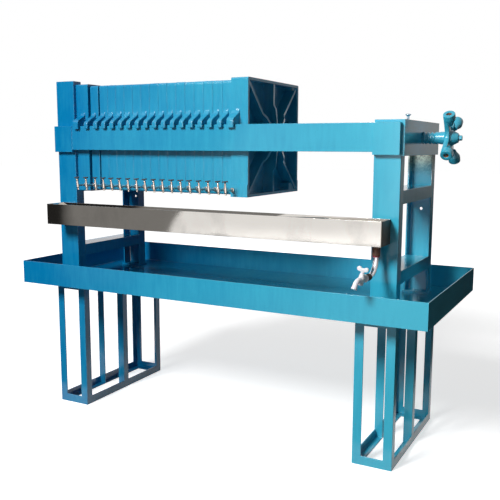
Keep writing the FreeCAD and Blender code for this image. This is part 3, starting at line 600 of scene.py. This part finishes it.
def make_cards():
    """Cards that only the gloss of the paint and metal sees: a grey one at the front left with a
    slanted edge, a bright one beside it, three on the floor, and one at the right that is bright at
    its top. Each has its corners, the axis and stretch of its gradient, and two strengths."""
    cards = (
        ("card_left", [(-7, -2.7, -0.1), (-2.17, -2.7, -0.1), (0.17, -2.7, 3.5),
                       (-7, -2.7, 3.5)], "X", (-2.95, -2.8), (0.02, 0.24)),
        ("card_front", [(-7, -6, 0.003), (1.0, -6, 0.003), (1.0, -0.45, 0.003),
                        (-7, -0.45, 0.003)], "X", (-1.6, -0.2), (0.03, 0.9)),
        ("card_legs", [(-2, -1.6, 0.005), (1.2, -1.6, 0.005), (1.2, -0.42, 0.005),
                       (-2, -0.42, 0.005)], "X", (-1.0, 1.0), (0.03, 0.3)),
        ("card_floor", [(0.96, -1.5, 0.004), (2.62, -1.5, 0.004), (2.62, 14.0, 0.004),
                        (0.96, 14.0, 0.004)], "X", (0.0, 1.0), (0.012, 0.012)),
        ("card_glow", [(-0.3, -3.3, 0.62), (1.0, -3.3, 0.45), (1.0, -3.3, 2.6),
                       (-0.3, -3.3, 2.6)], "X", (-0.3, 0.2), (1.2, 4.6)),
        ("card_right", [(2.6, -1.5, 0), (2.6, 14.0, 0), (2.6, 14.0, 2.4), (2.6, -1.5, 2.4)],
         "Z", (0.1, 1.4), (0.03, 0.64)))
    for name, points, axis, (low, high), (dim, bright) in cards:
        material, tree, place = begin(name)
        value = add(tree, "ShaderNodeSeparateXYZ", {0: place}).outputs[axis]
        shade = add(tree, "ShaderNodeEmission", {
            "Color": (1, 0.98, 0.95, 1), "Strength": remap(tree, value, low, high, dim, bright)})
        add(tree, "ShaderNodeOutputMaterial", {"Surface": shade.outputs[0]})
        card = flat_object(name, points, material)
        for ray in ("camera", "diffuse", "transmission", "shadow", "volume_scatter"):
            setattr(card, "visible_" + ray, False)


def make_camera(scene):
    """The camera stands at the front right, a little above the tray, and looks down slightly."""
    azimuth, pitch, roll = (math.radians(v) for v in (27.76, 8.32, 0.22))
    sa, ca, sp, cp = math.sin(azimuth), math.cos(azimuth), math.sin(pitch), math.cos(pitch)
    ahead = np.array([-sa * cp, ca * cp, -sp])
    right = np.array([ca, sa, 0.0])
    up = np.array([-sa * sp, ca * sp, cp])
    side = right * math.cos(roll) + up * math.sin(roll)
    rise = -right * math.sin(roll) + up * math.cos(roll)
    from_left_end, before_axis, eye_height = 2.39695, 2.73691, 1.19227
    spot = (TRAY_LOW[0] + from_left_end, AXIS_Y - before_axis, eye_height)
    data = bpy.data.cameras.new("camera")
    data.sensor_width = 36.0
    data.lens = 51.05
    data.clip_end = 100.0
    camera = bpy.data.objects.new("camera", data)
    scene.collection.objects.link(camera)
    camera.matrix_world = Matrix([(side[i], rise[i], -ahead[i], spot[i]) for i in range(3)]
                                 + [(0, 0, 0, 1)])
    scene.camera = camera


class PRESS_OT_structure(bpy.types.Operator):
    """Rounds and paints the stand, tray, posts, rungs, beams and crosshead"""

    bl_idname = "press.structure"
    bl_label = "Stand, Posts and Beams"

    def execute(self, context):
        width = context.scene.press_sizes.edge_round
        paint = finishes()
        for node, finish, rounding in (
                ("left_leg_frame", "enamel worn", 1.0), ("right_leg_frame", "enamel leg", 1.0),
                ("drip_tray", "enamel section", 0.7), ("front_left_post", "enamel section", 1.3),
                ("back_left_post", "enamel section", 1.3),
                ("front_right_post", "enamel section", 1.3),
                ("back_right_post", "enamel flaked", 1.3),
                ("left_cross_rungs", "enamel section", 1.0),
                ("right_cross_rungs", "enamel section", 1.0),
                ("front_side_beam", "enamel section", 1.0),
                ("back_side_beam", "enamel section", 1.0), ("crosshead", "enamel section", 1.0),
                ("screw_nut", "enamel section", 1.5)):
            softened(node, paint[finish], width * rounding)
        return {"FINISHED"}


class PRESS_OT_heads(bpy.types.Operator):
    """Rounds and paints the fixed and the moving head"""

    bl_idname = "press.heads"
    bl_label = "Heads"

    def execute(self, context):
        width = context.scene.press_sizes.edge_round
        for node in ("fixed_head", "moving_head"):
            softened(node, finishes()["enamel head"], width)
        return {"FINISHED"}


class PRESS_OT_plates(bpy.types.Operator):
    """Casts the sixteen filter plates with their chambers, feed holes and lugs"""

    bl_idname = "press.plates"
    bl_label = "Filter Plates"

    def execute(self, context):
        random = np.random.default_rng(11)
        for number in range(1, PLATES + 1):
            filter_plate(number, random.uniform(0, 1, 3))
        return {"FINISHED"}


def filter_plate(number, chance):
    """A cast plate: a closed profile (face, rim, chamber, feed hole) is carried round the plate's
    outline; point(u, v) = (x(v), (1 - s(v)) P(u) + s(v) C(u)), with P the outline and C the feed
    hole. The outer side is dented by vertical wrinkles. A lug stands on each side."""
    node = f"filter_plate_{number:02d}"
    low, high = corners(node)
    thick = (high[0] - low[0]) / MM
    height = (high[2] - low[2]) / MM
    width, play, corner, feed_radius, outline_points = 468.0, 0.3, 6.0, 17.0, 220
    chamber_depth, rim, chamber_slope, face_play = 3.6, 42.0, 10.0, 0.05
    lowest_top, narrowest, lug_offset, patterns_apart = 2.4, 0.004, 6.0, 97.0
    usual_dent, dent_swing, deepest_dent, edge, side_rows = 0.75, 0.6, 1.6, 3.0, 14
    half = np.array([width / 2, height / 2]) - [play, play]
    spots = half * np.array([(-1, -1), (1, -1), (1, 1), (-1, 1)])
    outline = evenly(eased(spots, corner, 6, closed=True), outline_points)
    outline[:, 1] -= np.clip(outline[:, 1], 0, None) / half[1] * lowest_top * chance[0]
    outline[:, 0] *= 1 - narrowest * chance[1]
    angle = np.arctan2(outline[:, 1], outline[:, 0])
    hole = feed_radius * np.stack([np.cos(angle), np.sin(angle)], -1)
    reach = width / 2 - feed_radius
    loop = [(chamber_depth, reach), (chamber_depth, rim + chamber_slope), (face_play, rim),
            (face_play, 0), (thick - face_play, 0), (thick - face_play, rim),
            (thick - chamber_depth, rim + chamber_slope), (thick - chamber_depth, reach)]
    profile = eased(loop, [0.5, 2, 2, 2, 2, 2, 2, 0.5], 4, closed=True)
    side = np.column_stack([np.linspace(edge, thick - edge, side_rows), np.zeros(side_rows)])
    half_way = len(profile) // 2
    profile = np.vstack([profile[:half_way], side, profile[half_way:]])
    s = profile[:, 1] / reach
    flat = outline[None] * (1 - s[:, None, None]) + hole[None] * s[:, None, None]
    x = np.broadcast_to(profile[:, 0, None], flat.shape[:2])
    places = np.stack([x + number * patterns_apart, flat[..., 0], flat[..., 1]], -1)
    wrinkle = 0.55 * ripple(places, (9, 60, 90), number) + 0.45 * ripple(places, (16, 40, 34), 60)
    outer = np.clip(1 - profile[:, 1] / edge, 0, 1)[:, None]
    dent = np.clip((usual_dent + dent_swing * wrinkle) * outer, 0, deepest_dent)
    share = flat / np.maximum(np.abs(flat).max(-1, keepdims=True), 1e-6)
    outwards = np.where(np.abs(share) > 0.985, np.sign(share), 0)
    flat = flat - outwards * dent[..., None]
    rings = np.stack([x * MM + low[0], flat[..., 0] * MM + AXIS_Y, flat[..., 1] * MM + AXIS_Z], -1)
    middle = (low[0] + high[0]) / 2 - lug_offset * MM
    shells = [shell(rings, wrap=True), plate_lug(middle, -1, number), plate_lug(middle, 1, number)]
    put(f"cast_plate_{number:02d}", shells, [finishes()["enamel cast"]], f"plate_{number:02d}",
        "blue_enamel", [node], crease=50.0)


def plate_lug(middle, side, seed):
    """A cast tongue: its outline leaves the plate in a hollow arc, runs down a flank and over a
    round shoulder to a lip that hooks over the beam. The outline is carried across the lug's
    width, which narrows towards the tip, and its outer layers move in to round the edges."""
    seat = (corners("front_side_beam")[1][2] - AXIS_Z) / MM + 0.3
    slope = math.radians(30)
    inside, root, plate_side, lip_face, tip = 228.0, 233.0, 234.0, 280.0, 290.0
    root_top, hollow_radius, tip_radius, lip_drop = 115.0, 25.0, 18.0, 13.0
    root_half, tip_half, lump_height, lump_size = 13.0, 10.5, 0.35, 14.0
    bend = np.linspace(0, math.pi / 2 - slope, 10)
    hollow = np.stack([root + hollow_radius * (1 - np.cos(bend)),
                       root_top - hollow_radius * np.sin(bend)], -1)
    crest = tip - tip_radius * (1 - math.cos(bend[-1]))
    crest_z = hollow[-1, 1] - (crest - hollow[-1, 0]) * math.tan(slope)
    shoulder_z = crest_z - tip_radius * math.sin(bend[-1])
    round_by = bend[::-1]
    shoulder = np.stack([tip - tip_radius * (1 - np.cos(round_by)),
                         shoulder_z + tip_radius * np.sin(round_by)], -1)
    foot = eased([(tip, shoulder_z), (tip, seat - lip_drop), (lip_face, seat - lip_drop),
                  (lip_face, seat), (inside, seat), (inside, root_top), (root, root_top)],
                 [0, 3, 3, 2, 1, 1, 0], 4)
    outline = evenly(np.vstack([hollow, shoulder, foot[1:-1]]), 90)
    layers = []
    for share, dent in ((-1, 3.2), (-0.97, 1.6), (-0.86, 0.3), (-0.5, 0), (0, 0), (0.5, 0),
                        (0.86, 0.3), (0.97, 1.6), (1, 3.2)):
        flat = moved_in(outline, dent)
        half = root_half + (flat[:, 0] - plate_side) * (tip_half - root_half) / (tip - plate_side)
        lumps = lump_height * ripple(np.column_stack([flat, half * share]), lump_size, seed)
        layers.append(np.column_stack([middle + half * share * MM,
                                       AXIS_Y + side * (flat[:, 0] - np.abs(lumps)) * MM,
                                       AXIS_Z + flat[:, 1] * MM]))
    return shell(np.array(layers))


class PRESS_OT_cocks(bpy.types.Operator):
    """Turns the drain cocks of the plates and heads"""

    bl_idname = "press.cocks"
    bl_label = "Drain Cocks"

    def execute(self, context):
        random = np.random.default_rng(7)
        names = [("fixed_head_cock", "frame"), ("moving_head_cock", "moving_head")]
        names += [(f"plate_cock_{n:02d}", f"plate_{n:02d}") for n in range(1, PLATES + 1)]
        for node, body in names:
            drain_cock(node, body, random.uniform(-1, 1, 3))
        return {"FINISHED"}


def drain_cock(node, body, chance):
    """One plug cock: a shank with a collar, a bulging upright with a spout, a stem, and a T key.
    All are turned surfaces but the key, a round section carried along its bar."""
    sizes = bpy.context.scene.press_sizes
    low, high = corners(node)
    x = (low[0] + high[0]) / 2
    y_side = high[1]
    body_out, body_rise, key_rise, key_half, sides = 57 * MM, 20 * MM, 35 * MM, 11.5 * MM, 20
    lean = sizes.cock_lean + math.radians(2.0) * chance[0]
    down = unit(np.array([math.sin(lean), math.radians(2.5) * chance[1], -math.cos(lean)]))
    hub = np.array([x, y_side - body_out, low[2] + body_rise])
    shank = eased([(0, 0), (0, 4.6), (40, 4.6), (42, 6.4), (49, 6.6), (50, 9.3), (56.9, 9.4),
                   (56.9, 0)], 1.0) * MM
    upright = eased([(-28, 0), (-28, 4.4), (-25, 5.2), (-20, 4.2), (-12, 4.6), (-8, 5.6), (8, 5.6),
                     (11, 4.3), (13, 3.8), (18, 4.0), (19.6, 4.2), (19.6, 3.0), (12, 2.8),
                     (12, 0)], 0.8) * MM
    stem = eased([(-37, 0), (-37, 3.0), (-26, 3.4), (-26, 0)], 0.6) * MM
    t = np.linspace(-key_half, key_half, 9)
    turn = math.radians(8.0) * chance[2]
    along = np.array([math.cos(turn), math.sin(turn), 0.0])
    along = unit(along - down * (along @ down))
    bar = hub - down * key_rise + t[:, None] * along
    swell = 1.0 + 0.25 * (np.abs(t) / t.max()) ** 3
    shells = [shell(turned(shank, hub, Y_AXIS, sides)), shell(turned(upright, hub, down, sides)),
              shell(turned(stem, hub, down, sides), 1),
              shell(carried(circle(2.4 * MM, 12), bar, Z_AXIS, swell), 1)]
    paint = finishes()
    put(node.replace("cock", "drain_cock"), shells, [paint["chrome"], paint["key iron"]], body,
        "chrome_plate", [node])


class PRESS_OT_screw(bpy.types.Operator):
    """Cuts the screw's thread and turns the oil bolt and the wheel's nut"""

    bl_idname = "press.screw"
    bl_label = "Screw, Wheel Nut and Oil Bolt"

    def execute(self, context):
        paint = finishes()
        threaded_screw(paint)
        wheel_nut(paint)
        oil_bolt(paint)
        return {"FINISHED"}


def threaded_screw(paint):
    """The screw: r(x, t) = R - depth w(x / pitch - t / 2 pi), where w is a trapezoid wave
    between 0 and 1 that fades out at the plain end next to the hand wheel. A turned nose stands
    in the moving head."""
    sizes = bpy.context.scene.press_sizes
    sides, rows_per_pitch, fade_length, nose_radius, nose_length = 64, 14, 5 * MM, 20.0, 43.7
    radius = (SCREW_HIGH[2] - SCREW_LOW[2]) / 2
    start = corners("moving_head")[1][0] + 0.3 * MM
    wheel = SCREW_HIGH[0]
    plain = corners("crosshead")[1][0] + 50 * MM
    x = np.arange(start, wheel + 1e-9, sizes.thread_pitch / rows_per_pitch)
    x[-1] = wheel
    t = np.linspace(0, 2 * np.pi, sides, endpoint=False)
    wave = np.cos(2 * np.pi * (x[:, None] / sizes.thread_pitch) - t[None])
    groove = np.clip(0.45 - 1.3 * wave, 0, 1)
    fade = np.clip((plain - x) / fade_length, 0, 1) * np.clip((x - start) / fade_length, 0, 1)
    r = radius - sizes.thread_depth * groove * fade[:, None]
    rings = np.empty(r.shape + (3,))
    rings[..., 0] = x[:, None]
    rings[..., 1] = AXIS_Y + r * np.cos(t)
    rings[..., 2] = AXIS_Z + r * np.sin(t)
    nose = eased([(0, 0), (0, nose_radius), (nose_length, nose_radius), (nose_length, 0)],
                 3.0) * MM
    tip = (SCREW_LOW[0], AXIS_Y, AXIS_Z)
    put("screw_thread", [shell(rings), shell(turned(nose, tip, X_AXIS, 40))],
        [paint["enamel wheel"]], "screw", "blue_enamel", ["press_screw"])


def wheel_nut(paint):
    """A hexagonal nut whose corners are turned off: r(t) is a hexagon cut by a cone at its face,
    with the screw's end standing in it."""
    low, high = corners("wheel_nut")
    sides = 72
    t = np.linspace(0, 2 * np.pi, sides, endpoint=False)
    hexagon = math.cos(math.pi / 6) / np.cos((t + math.pi / 6) % (math.pi / 3) - math.pi / 6)
    radius = (high[2] - low[2]) / 2
    steps = np.array([(0, 1.0), (0.72, 1.0), (0.92, 0.93), (1.0, 0.86)])
    length = high[0] - low[0]
    r = radius * np.minimum(hexagon[None], steps[:, 1, None])
    rings = np.empty(r.shape + (3,))
    rings[..., 0] = low[0] + length * steps[:, 0, None]
    rings[..., 1] = AXIS_Y + r * np.cos(t)
    rings[..., 2] = AXIS_Z + r * np.sin(t)
    put("wheel_end_nut", [shell(rings)], [paint["enamel wheel"]], "screw", "blue_enamel",
        ["wheel_nut"])


def oil_bolt(paint):
    """A coach bolt: a flat dome over an undercut rim, on a shank with a fine thread, turned."""
    low, high = corners("oil_bolt")
    x, y = (low[0] + high[0]) / 2, (low[1] + high[1]) / 2
    top, foot, shank, fine_thread = high[2] / MM - 0.02, low[2] / MM, 5.3, 0.35
    head = eased([(top, 0), (top - 0.6, 6.5), (top - 3.6, 11.4), (top - 5.4, 11.3),
                  (top - 8.6, 6.6), (top - 10.2, 5.4)], [0, 4, 1.6, 1.2, 2, 0], 5)
    height = np.arange(high[2] / MM - 10.4, foot, -0.7)
    thread = np.stack([height, shank - fine_thread * (np.arange(len(height)) % 2)], -1)
    profile = np.vstack([head, thread, [(foot, 5.0), (foot, 0.0)]]) * MM
    put("oil_bolt_turned", [shell(turned(profile, (x, y, 0), Z_AXIS, 32))], [paint["zinc"]],
        "frame", "chrome_plate", ["oil_bolt"])


class PRESS_OT_hand_wheel(bpy.types.Operator):
    """Casts the capstan hand wheel with its four bar sockets"""

    bl_idname = "press.hand_wheel"
    bl_label = "Hand Wheel"

    def execute(self, context):
        paint = finishes()
        bore = context.scene.press_sizes.bore / 2 / MM
        origin = np.array([corners("hand_wheel")[0][0], AXIS_Y, AXIS_Z])
        hub = eased([(0, 0), (0, 24), (19, 24), (24, 30), (41, 30.5), (66.9, 16.4), (66.9, 0)],
                    [0, 2, 4, 3, 4, 2.5, 0], 6) * MM
        shells = [shell(turned(hub, origin, X_AXIS, 64)), wheel_web(origin)]
        centre = origin + X_AXIS * 41 * MM
        for index in range(4):
            spoke = wheel_spoke(index)
            boss = eased([(58, 0), (58, 9.0), (70, 13.0), (84, 21.5), (92, 22.4), (108.8, 22.0),
                          (108.8, bore + 1.5), (107.0, bore), (75, bore), (75, 0)],
                         [0, 0, 6, 5, 4, 3, 1, 1, 1, 0], 6) * MM
            shells.append(shell(turned(boss, centre, spoke, 40)))
            lining = eased([(74.6, 0), (74.6, bore - 0.3), (106.4, bore - 0.3), (106.4, bore - 1),
                            (75.4, bore - 1), (75.4, 0)], 0.3, 3) * MM
            shells.append(shell(turned(lining, centre, spoke, 32), 1))
        put("capstan_wheel", shells, [paint["enamel wheel"], paint["orange rust"]], "screw",
            "blue_enamel", ["hand_wheel"])
        return {"FINISHED"}


def wheel_spoke(index):
    """The direction of one of the wheel's four arms."""
    angle = math.radians(37.0 + index * 90.0)
    return np.array([0.0, math.cos(angle), math.sin(angle)])


def wheel_web(origin):
    """The wheel's web: an outline of four arms with hollow curves between them, carried through
    its thickness; each layer moves its outline in along its normal to round the edge."""
    arm, arm_half, waist = 100.0, 17.5, 21.5
    spots = []
    for index in range(4):
        spoke, beside = wheel_spoke(index)[1:], wheel_spoke(index + 1)[1:]
        spots += [spoke * arm - beside * arm_half, spoke * arm + beside * arm_half,
                  (spoke + beside) * waist]
    outline = eased(spots, [6, 6, 54] * 4, 16, closed=True) * MM
    layers = ((22.2, 4.0), (22.9, 1.6), (25.0, 0.2), (37.0, 0.2), (39.0, 1.6), (39.8, 4.0))
    rings = [np.column_stack([np.full(len(outline), origin[0] + x * MM),
                              moved_in(outline, dent * MM) + origin[1:]]) for x, dent in layers]
    return shell(np.array(rings))


class PRESS_OT_trough(bpy.types.Operator):
    """Polishes the collecting trough, and adds its hem and corner welds"""

    bl_idname = "press.trough"
    bl_label = "Collecting Trough"

    def execute(self, context):
        paint = finishes()
        softened("collecting_trough", paint["stainless"], 0.5 * MM, slot="stainless")
        low, high = corners("collecting_trough")
        hem, bead, bead_points = 0.9 * MM, 0.85 * MM, 60
        rim = eased([(low[0] + hem, low[1] + hem), (high[0] - hem, low[1] + hem),
                     (high[0] - hem, high[1] - hem), (low[0] + hem, high[1] - hem)],
                    2 * MM, 4, closed=True)
        rim = np.column_stack([rim, np.full(len(rim), high[2] - hem)])
        rings = carried(circle(hem, 8), np.vstack([rim, rim[:1]]), Z_AXIS)
        put("trough_hem", [shell(rings)], [paint["stainless"]], "frame", "stainless")
        beads = []
        for x in (low[0] + hem, high[0] - hem):
            z = np.linspace(low[2] + 1.5 * MM, high[2] - 2 * MM, bead_points)
            path = np.column_stack([np.full_like(z, x), np.full_like(z, low[1] + hem), z])
            step = np.arange(bead_points)
            lumps = 1.0 + 0.35 * np.sin(step * 1.9) * np.cos(step * 0.7)
            beads.append(shell(carried(circle(bead, 8), path, X_AXIS, lumps)))
        put("trough_corner_welds", beads, [paint["heat tint"]], "frame", "stainless")
        return {"FINISHED"}


class PRESS_OT_outlet(bpy.types.Operator):
    """Bends the outlet pipe and moulds the white tap"""

    bl_idname = "press.outlet"
    bl_label = "Outlet Pipe and Tap"

    def execute(self, context):
        paint = finishes()
        outlet_pipe(paint)
        bib_tap(paint)
        return {"FINISHED"}


PIPE_BEND = 57 * MM


def outlet_frame():
    """The level pipe's start under the socket, the way ahead along it, and the socket's foot."""
    low, high = corners("outlet_socket")
    x, y = (low[0] + high[0]) / 2, (low[1] + high[1]) / 2
    turn, drop = math.radians(6.0), 67 * MM
    ahead = np.array([-math.sin(turn), -math.cos(turn), 0.0])
    return np.array([x, y, low[2] - drop]), ahead, low[2]


def outlet_pipe(paint):
    """The socket and nipple are turned; the pipe is a round section carried down, round a
    quarter circle and forward, with a bore."""
    level, ahead, foot = outlet_frame()
    top = np.array([level[0], level[1], foot])
    socket = eased([(0, 7.5), (0, 13.4), (3, 15), (37, 15), (40, 14.4), (40, 7.5)], 1.2) * MM
    tape = eased([(-3.4, 9.9), (-3.4, 12.4), (-0.2, 13.2), (-0.2, 9.9)], 0.8) * MM
    put("outlet_socket_turned",
        [shell(turned(socket, top, Z_AXIS, 40), wrap=True),
         shell(turned(tape, top, Z_AXIS, 40), 1, wrap=True)],
        [paint["rust"], paint["red tape"]], "frame", "dark_iron", ["outlet_socket"])
    bore, nipple_length, nipple_radius, pitch = 7.6, 31.0, 12.4, 1.8
    a = np.linspace(0, math.pi / 2, 25)
    bend = (level + ahead * PIPE_BEND * (1 - np.cos(a))[:, None]
            + Z_AXIS * (PIPE_BEND * (1 - np.sin(a)))[:, None])
    start = level + ahead * PIPE_BEND
    path = np.vstack([[top], bend, [start + ahead * 4 * MM]])
    side = np.cross(Z_AXIS, ahead)
    outer = carried(circle(9.95 * MM, 28), path, side)
    inner = carried(circle(bore * MM, 28), path, side)
    pipe = shell(np.concatenate([outer, inner[::-1]]), wrap=True)
    h = np.arange(0, nipple_length + 0.01, 0.5)
    crest = nipple_radius - 0.55 * (0.5 - 0.5 * np.cos(h / pitch * 2 * np.pi))
    nipple = np.vstack([[(0, bore)], np.stack([h, crest], -1), [(nipple_length, bore)]]) * MM
    put("outlet_bend", [pipe, shell(turned(nipple, start, ahead, 40), 1, wrap=True)],
        [paint["galvanised"], paint["dark nipple"]], "frame", "galvanised", ["outlet_elbow"])


def tap_frame():
    """The tap's seat on its nipple, and the ways ahead, aside and up, leaned about the pipe."""
    level, ahead, _ = outlet_frame()
    lean = math.radians(8.0)
    aside = np.cross(ahead, Z_AXIS)
    up = Z_AXIS * math.cos(lean) - aside * math.sin(lean)
    return level + ahead * (PIPE_BEND + 31 * MM), ahead, np.cross(ahead, up), up


def bib_tap(paint):
    """The tap's barrel, bonnet and plug are turned, its spout is carried round an arc, and its
    handle is an outline of two round wings, carried through its thickness with eased edges."""
    start, ahead, aside, up = tap_frame()
    spout_bend, spout_radius = 22 * MM, 9.3 * MM
    barrel = eased([(0, 0), (0, 14.3), (2, 14.5), (6, 14.5), (6, 10.4), (14, 9.9), (20, 9.9),
                    (24, 12.2), (40, 12.2), (44, 9.9), (58, 9.4), (58, 0)],
                   [0, 1, 1, 1.5, 2, 3, 3, 3, 3, 3, 1, 0]) * MM
    plug = start + ahead * 32 * MM
    bonnet = eased([(-20, 0), (-20, 7.6), (-18.5, 9.4), (-8, 9.4), (0, 11), (12, 10.4), (15, 9.0),
                    (21.9, 7.6), (21.9, 0)], [0, 1, 1, 3, 3, 3, 2, 1, 0]) * MM
    bend = start + ahead * 56 * MM
    a = np.linspace(0, math.radians(65), 20)
    arc = (bend + ahead * (spout_bend * np.sin(a))[:, None]
           - up * (spout_bend * (1 - np.cos(a)))[:, None])
    onward = ahead * math.cos(a[-1]) - up * math.sin(a[-1])
    run = arc[-1] + onward * np.array([3, 8, 10, 12, 15.6])[:, None] * MM
    path = np.vstack([arc, run])
    swell = np.concatenate([np.ones_like(a), [1.0, 1.02, 1.14, 1.14, 1.12]])
    spout = carried(circle(spout_radius, 28), path, aside, swell)
    put("tap_moulding", [shell(turned(barrel, start, ahead, 36)),
                         shell(turned(bonnet, plug, up, 36)), shell(spout)],
        [paint["white plastic"]], "frame", "white_plastic", ["tap_body"])
    outline = eased([(-5.5, 0), (5.5, 0), (5.6, 6), (17, 7.5), (21.6, 12), (21.8, 19), (17, 23.6),
                     (9.5, 23.2), (5, 18.4), (-5, 18.4), (-9.5, 23.2), (-17, 23.6), (-21.8, 19),
                     (-21.6, 12), (-17, 7.5), (-5.6, 6)], 3.2, 5, closed=True) * MM
    seat = plug + up * 22.4 * MM
    middle = np.array([0.0, 12 * MM])
    layers = []
    for depth, inset in ((-4, 0.12), (-3.4, 0.05), (-2.4, 0.01), (2.4, 0.01), (3.4, 0.05),
                         (4, 0.12)):
        flat = middle + (outline - middle) * (1 - inset)
        layers.append(seat + flat[:, :1] * aside + flat[:, 1:] * up + ahead * depth * MM)
    put("tap_butterfly", [shell(np.array(layers))], [paint["white plastic"]], "tap_lever",
        "white_plastic", ["tap_handle"], crease=60.0)


class PRESS_PT_panel(bpy.types.Panel):
    """Lists the press's pieces"""

    bl_label = "Filter Press"
    bl_idname = "PRESS_PT_panel"
    bl_space_type = "VIEW_3D"
    bl_region_type = "UI"
    bl_category = "Filter Press"

    def draw(self, context):
        layout = self.layout
        for group in (context.scene.press_sizes, context.scene.press_colours):
            column = layout.column(align=True)
            for name in group.__annotations__:
                column.prop(group, name)
        for operator in OPERATORS:
            layout.operator(operator.bl_idname)


OPERATORS = (PRESS_OT_stage, PRESS_OT_structure, PRESS_OT_heads, PRESS_OT_plates, PRESS_OT_cocks,
             PRESS_OT_screw, PRESS_OT_hand_wheel, PRESS_OT_trough, PRESS_OT_outlet)
GROUPS = (PressSizes, PressColours)


def register():
    """Registers the classes and the two groups of settings."""
    for kind in GROUPS + OPERATORS + (PRESS_PT_panel,):
        bpy.utils.register_class(kind)
    bpy.types.Scene.press_sizes = PointerProperty(type=PressSizes)
    bpy.types.Scene.press_colours = PointerProperty(type=PressColours)


def unregister():
    """Takes back what register did."""
    del bpy.types.Scene.press_colours
    del bpy.types.Scene.press_sizes
    for kind in reversed(GROUPS + OPERATORS + (PRESS_PT_panel,)):
        bpy.utils.unregister_class(kind)


def main():
    """Builds the whole press."""
    register()
    bpy.ops.press.stage()
    bpy.ops.press.structure()
    bpy.ops.press.heads()
    bpy.ops.press.plates()
    bpy.ops.press.cocks()
    bpy.ops.press.screw()
    bpy.ops.press.hand_wheel()
    bpy.ops.press.trough()
    bpy.ops.press.outlet()


if __name__ == "__main__":
    main()
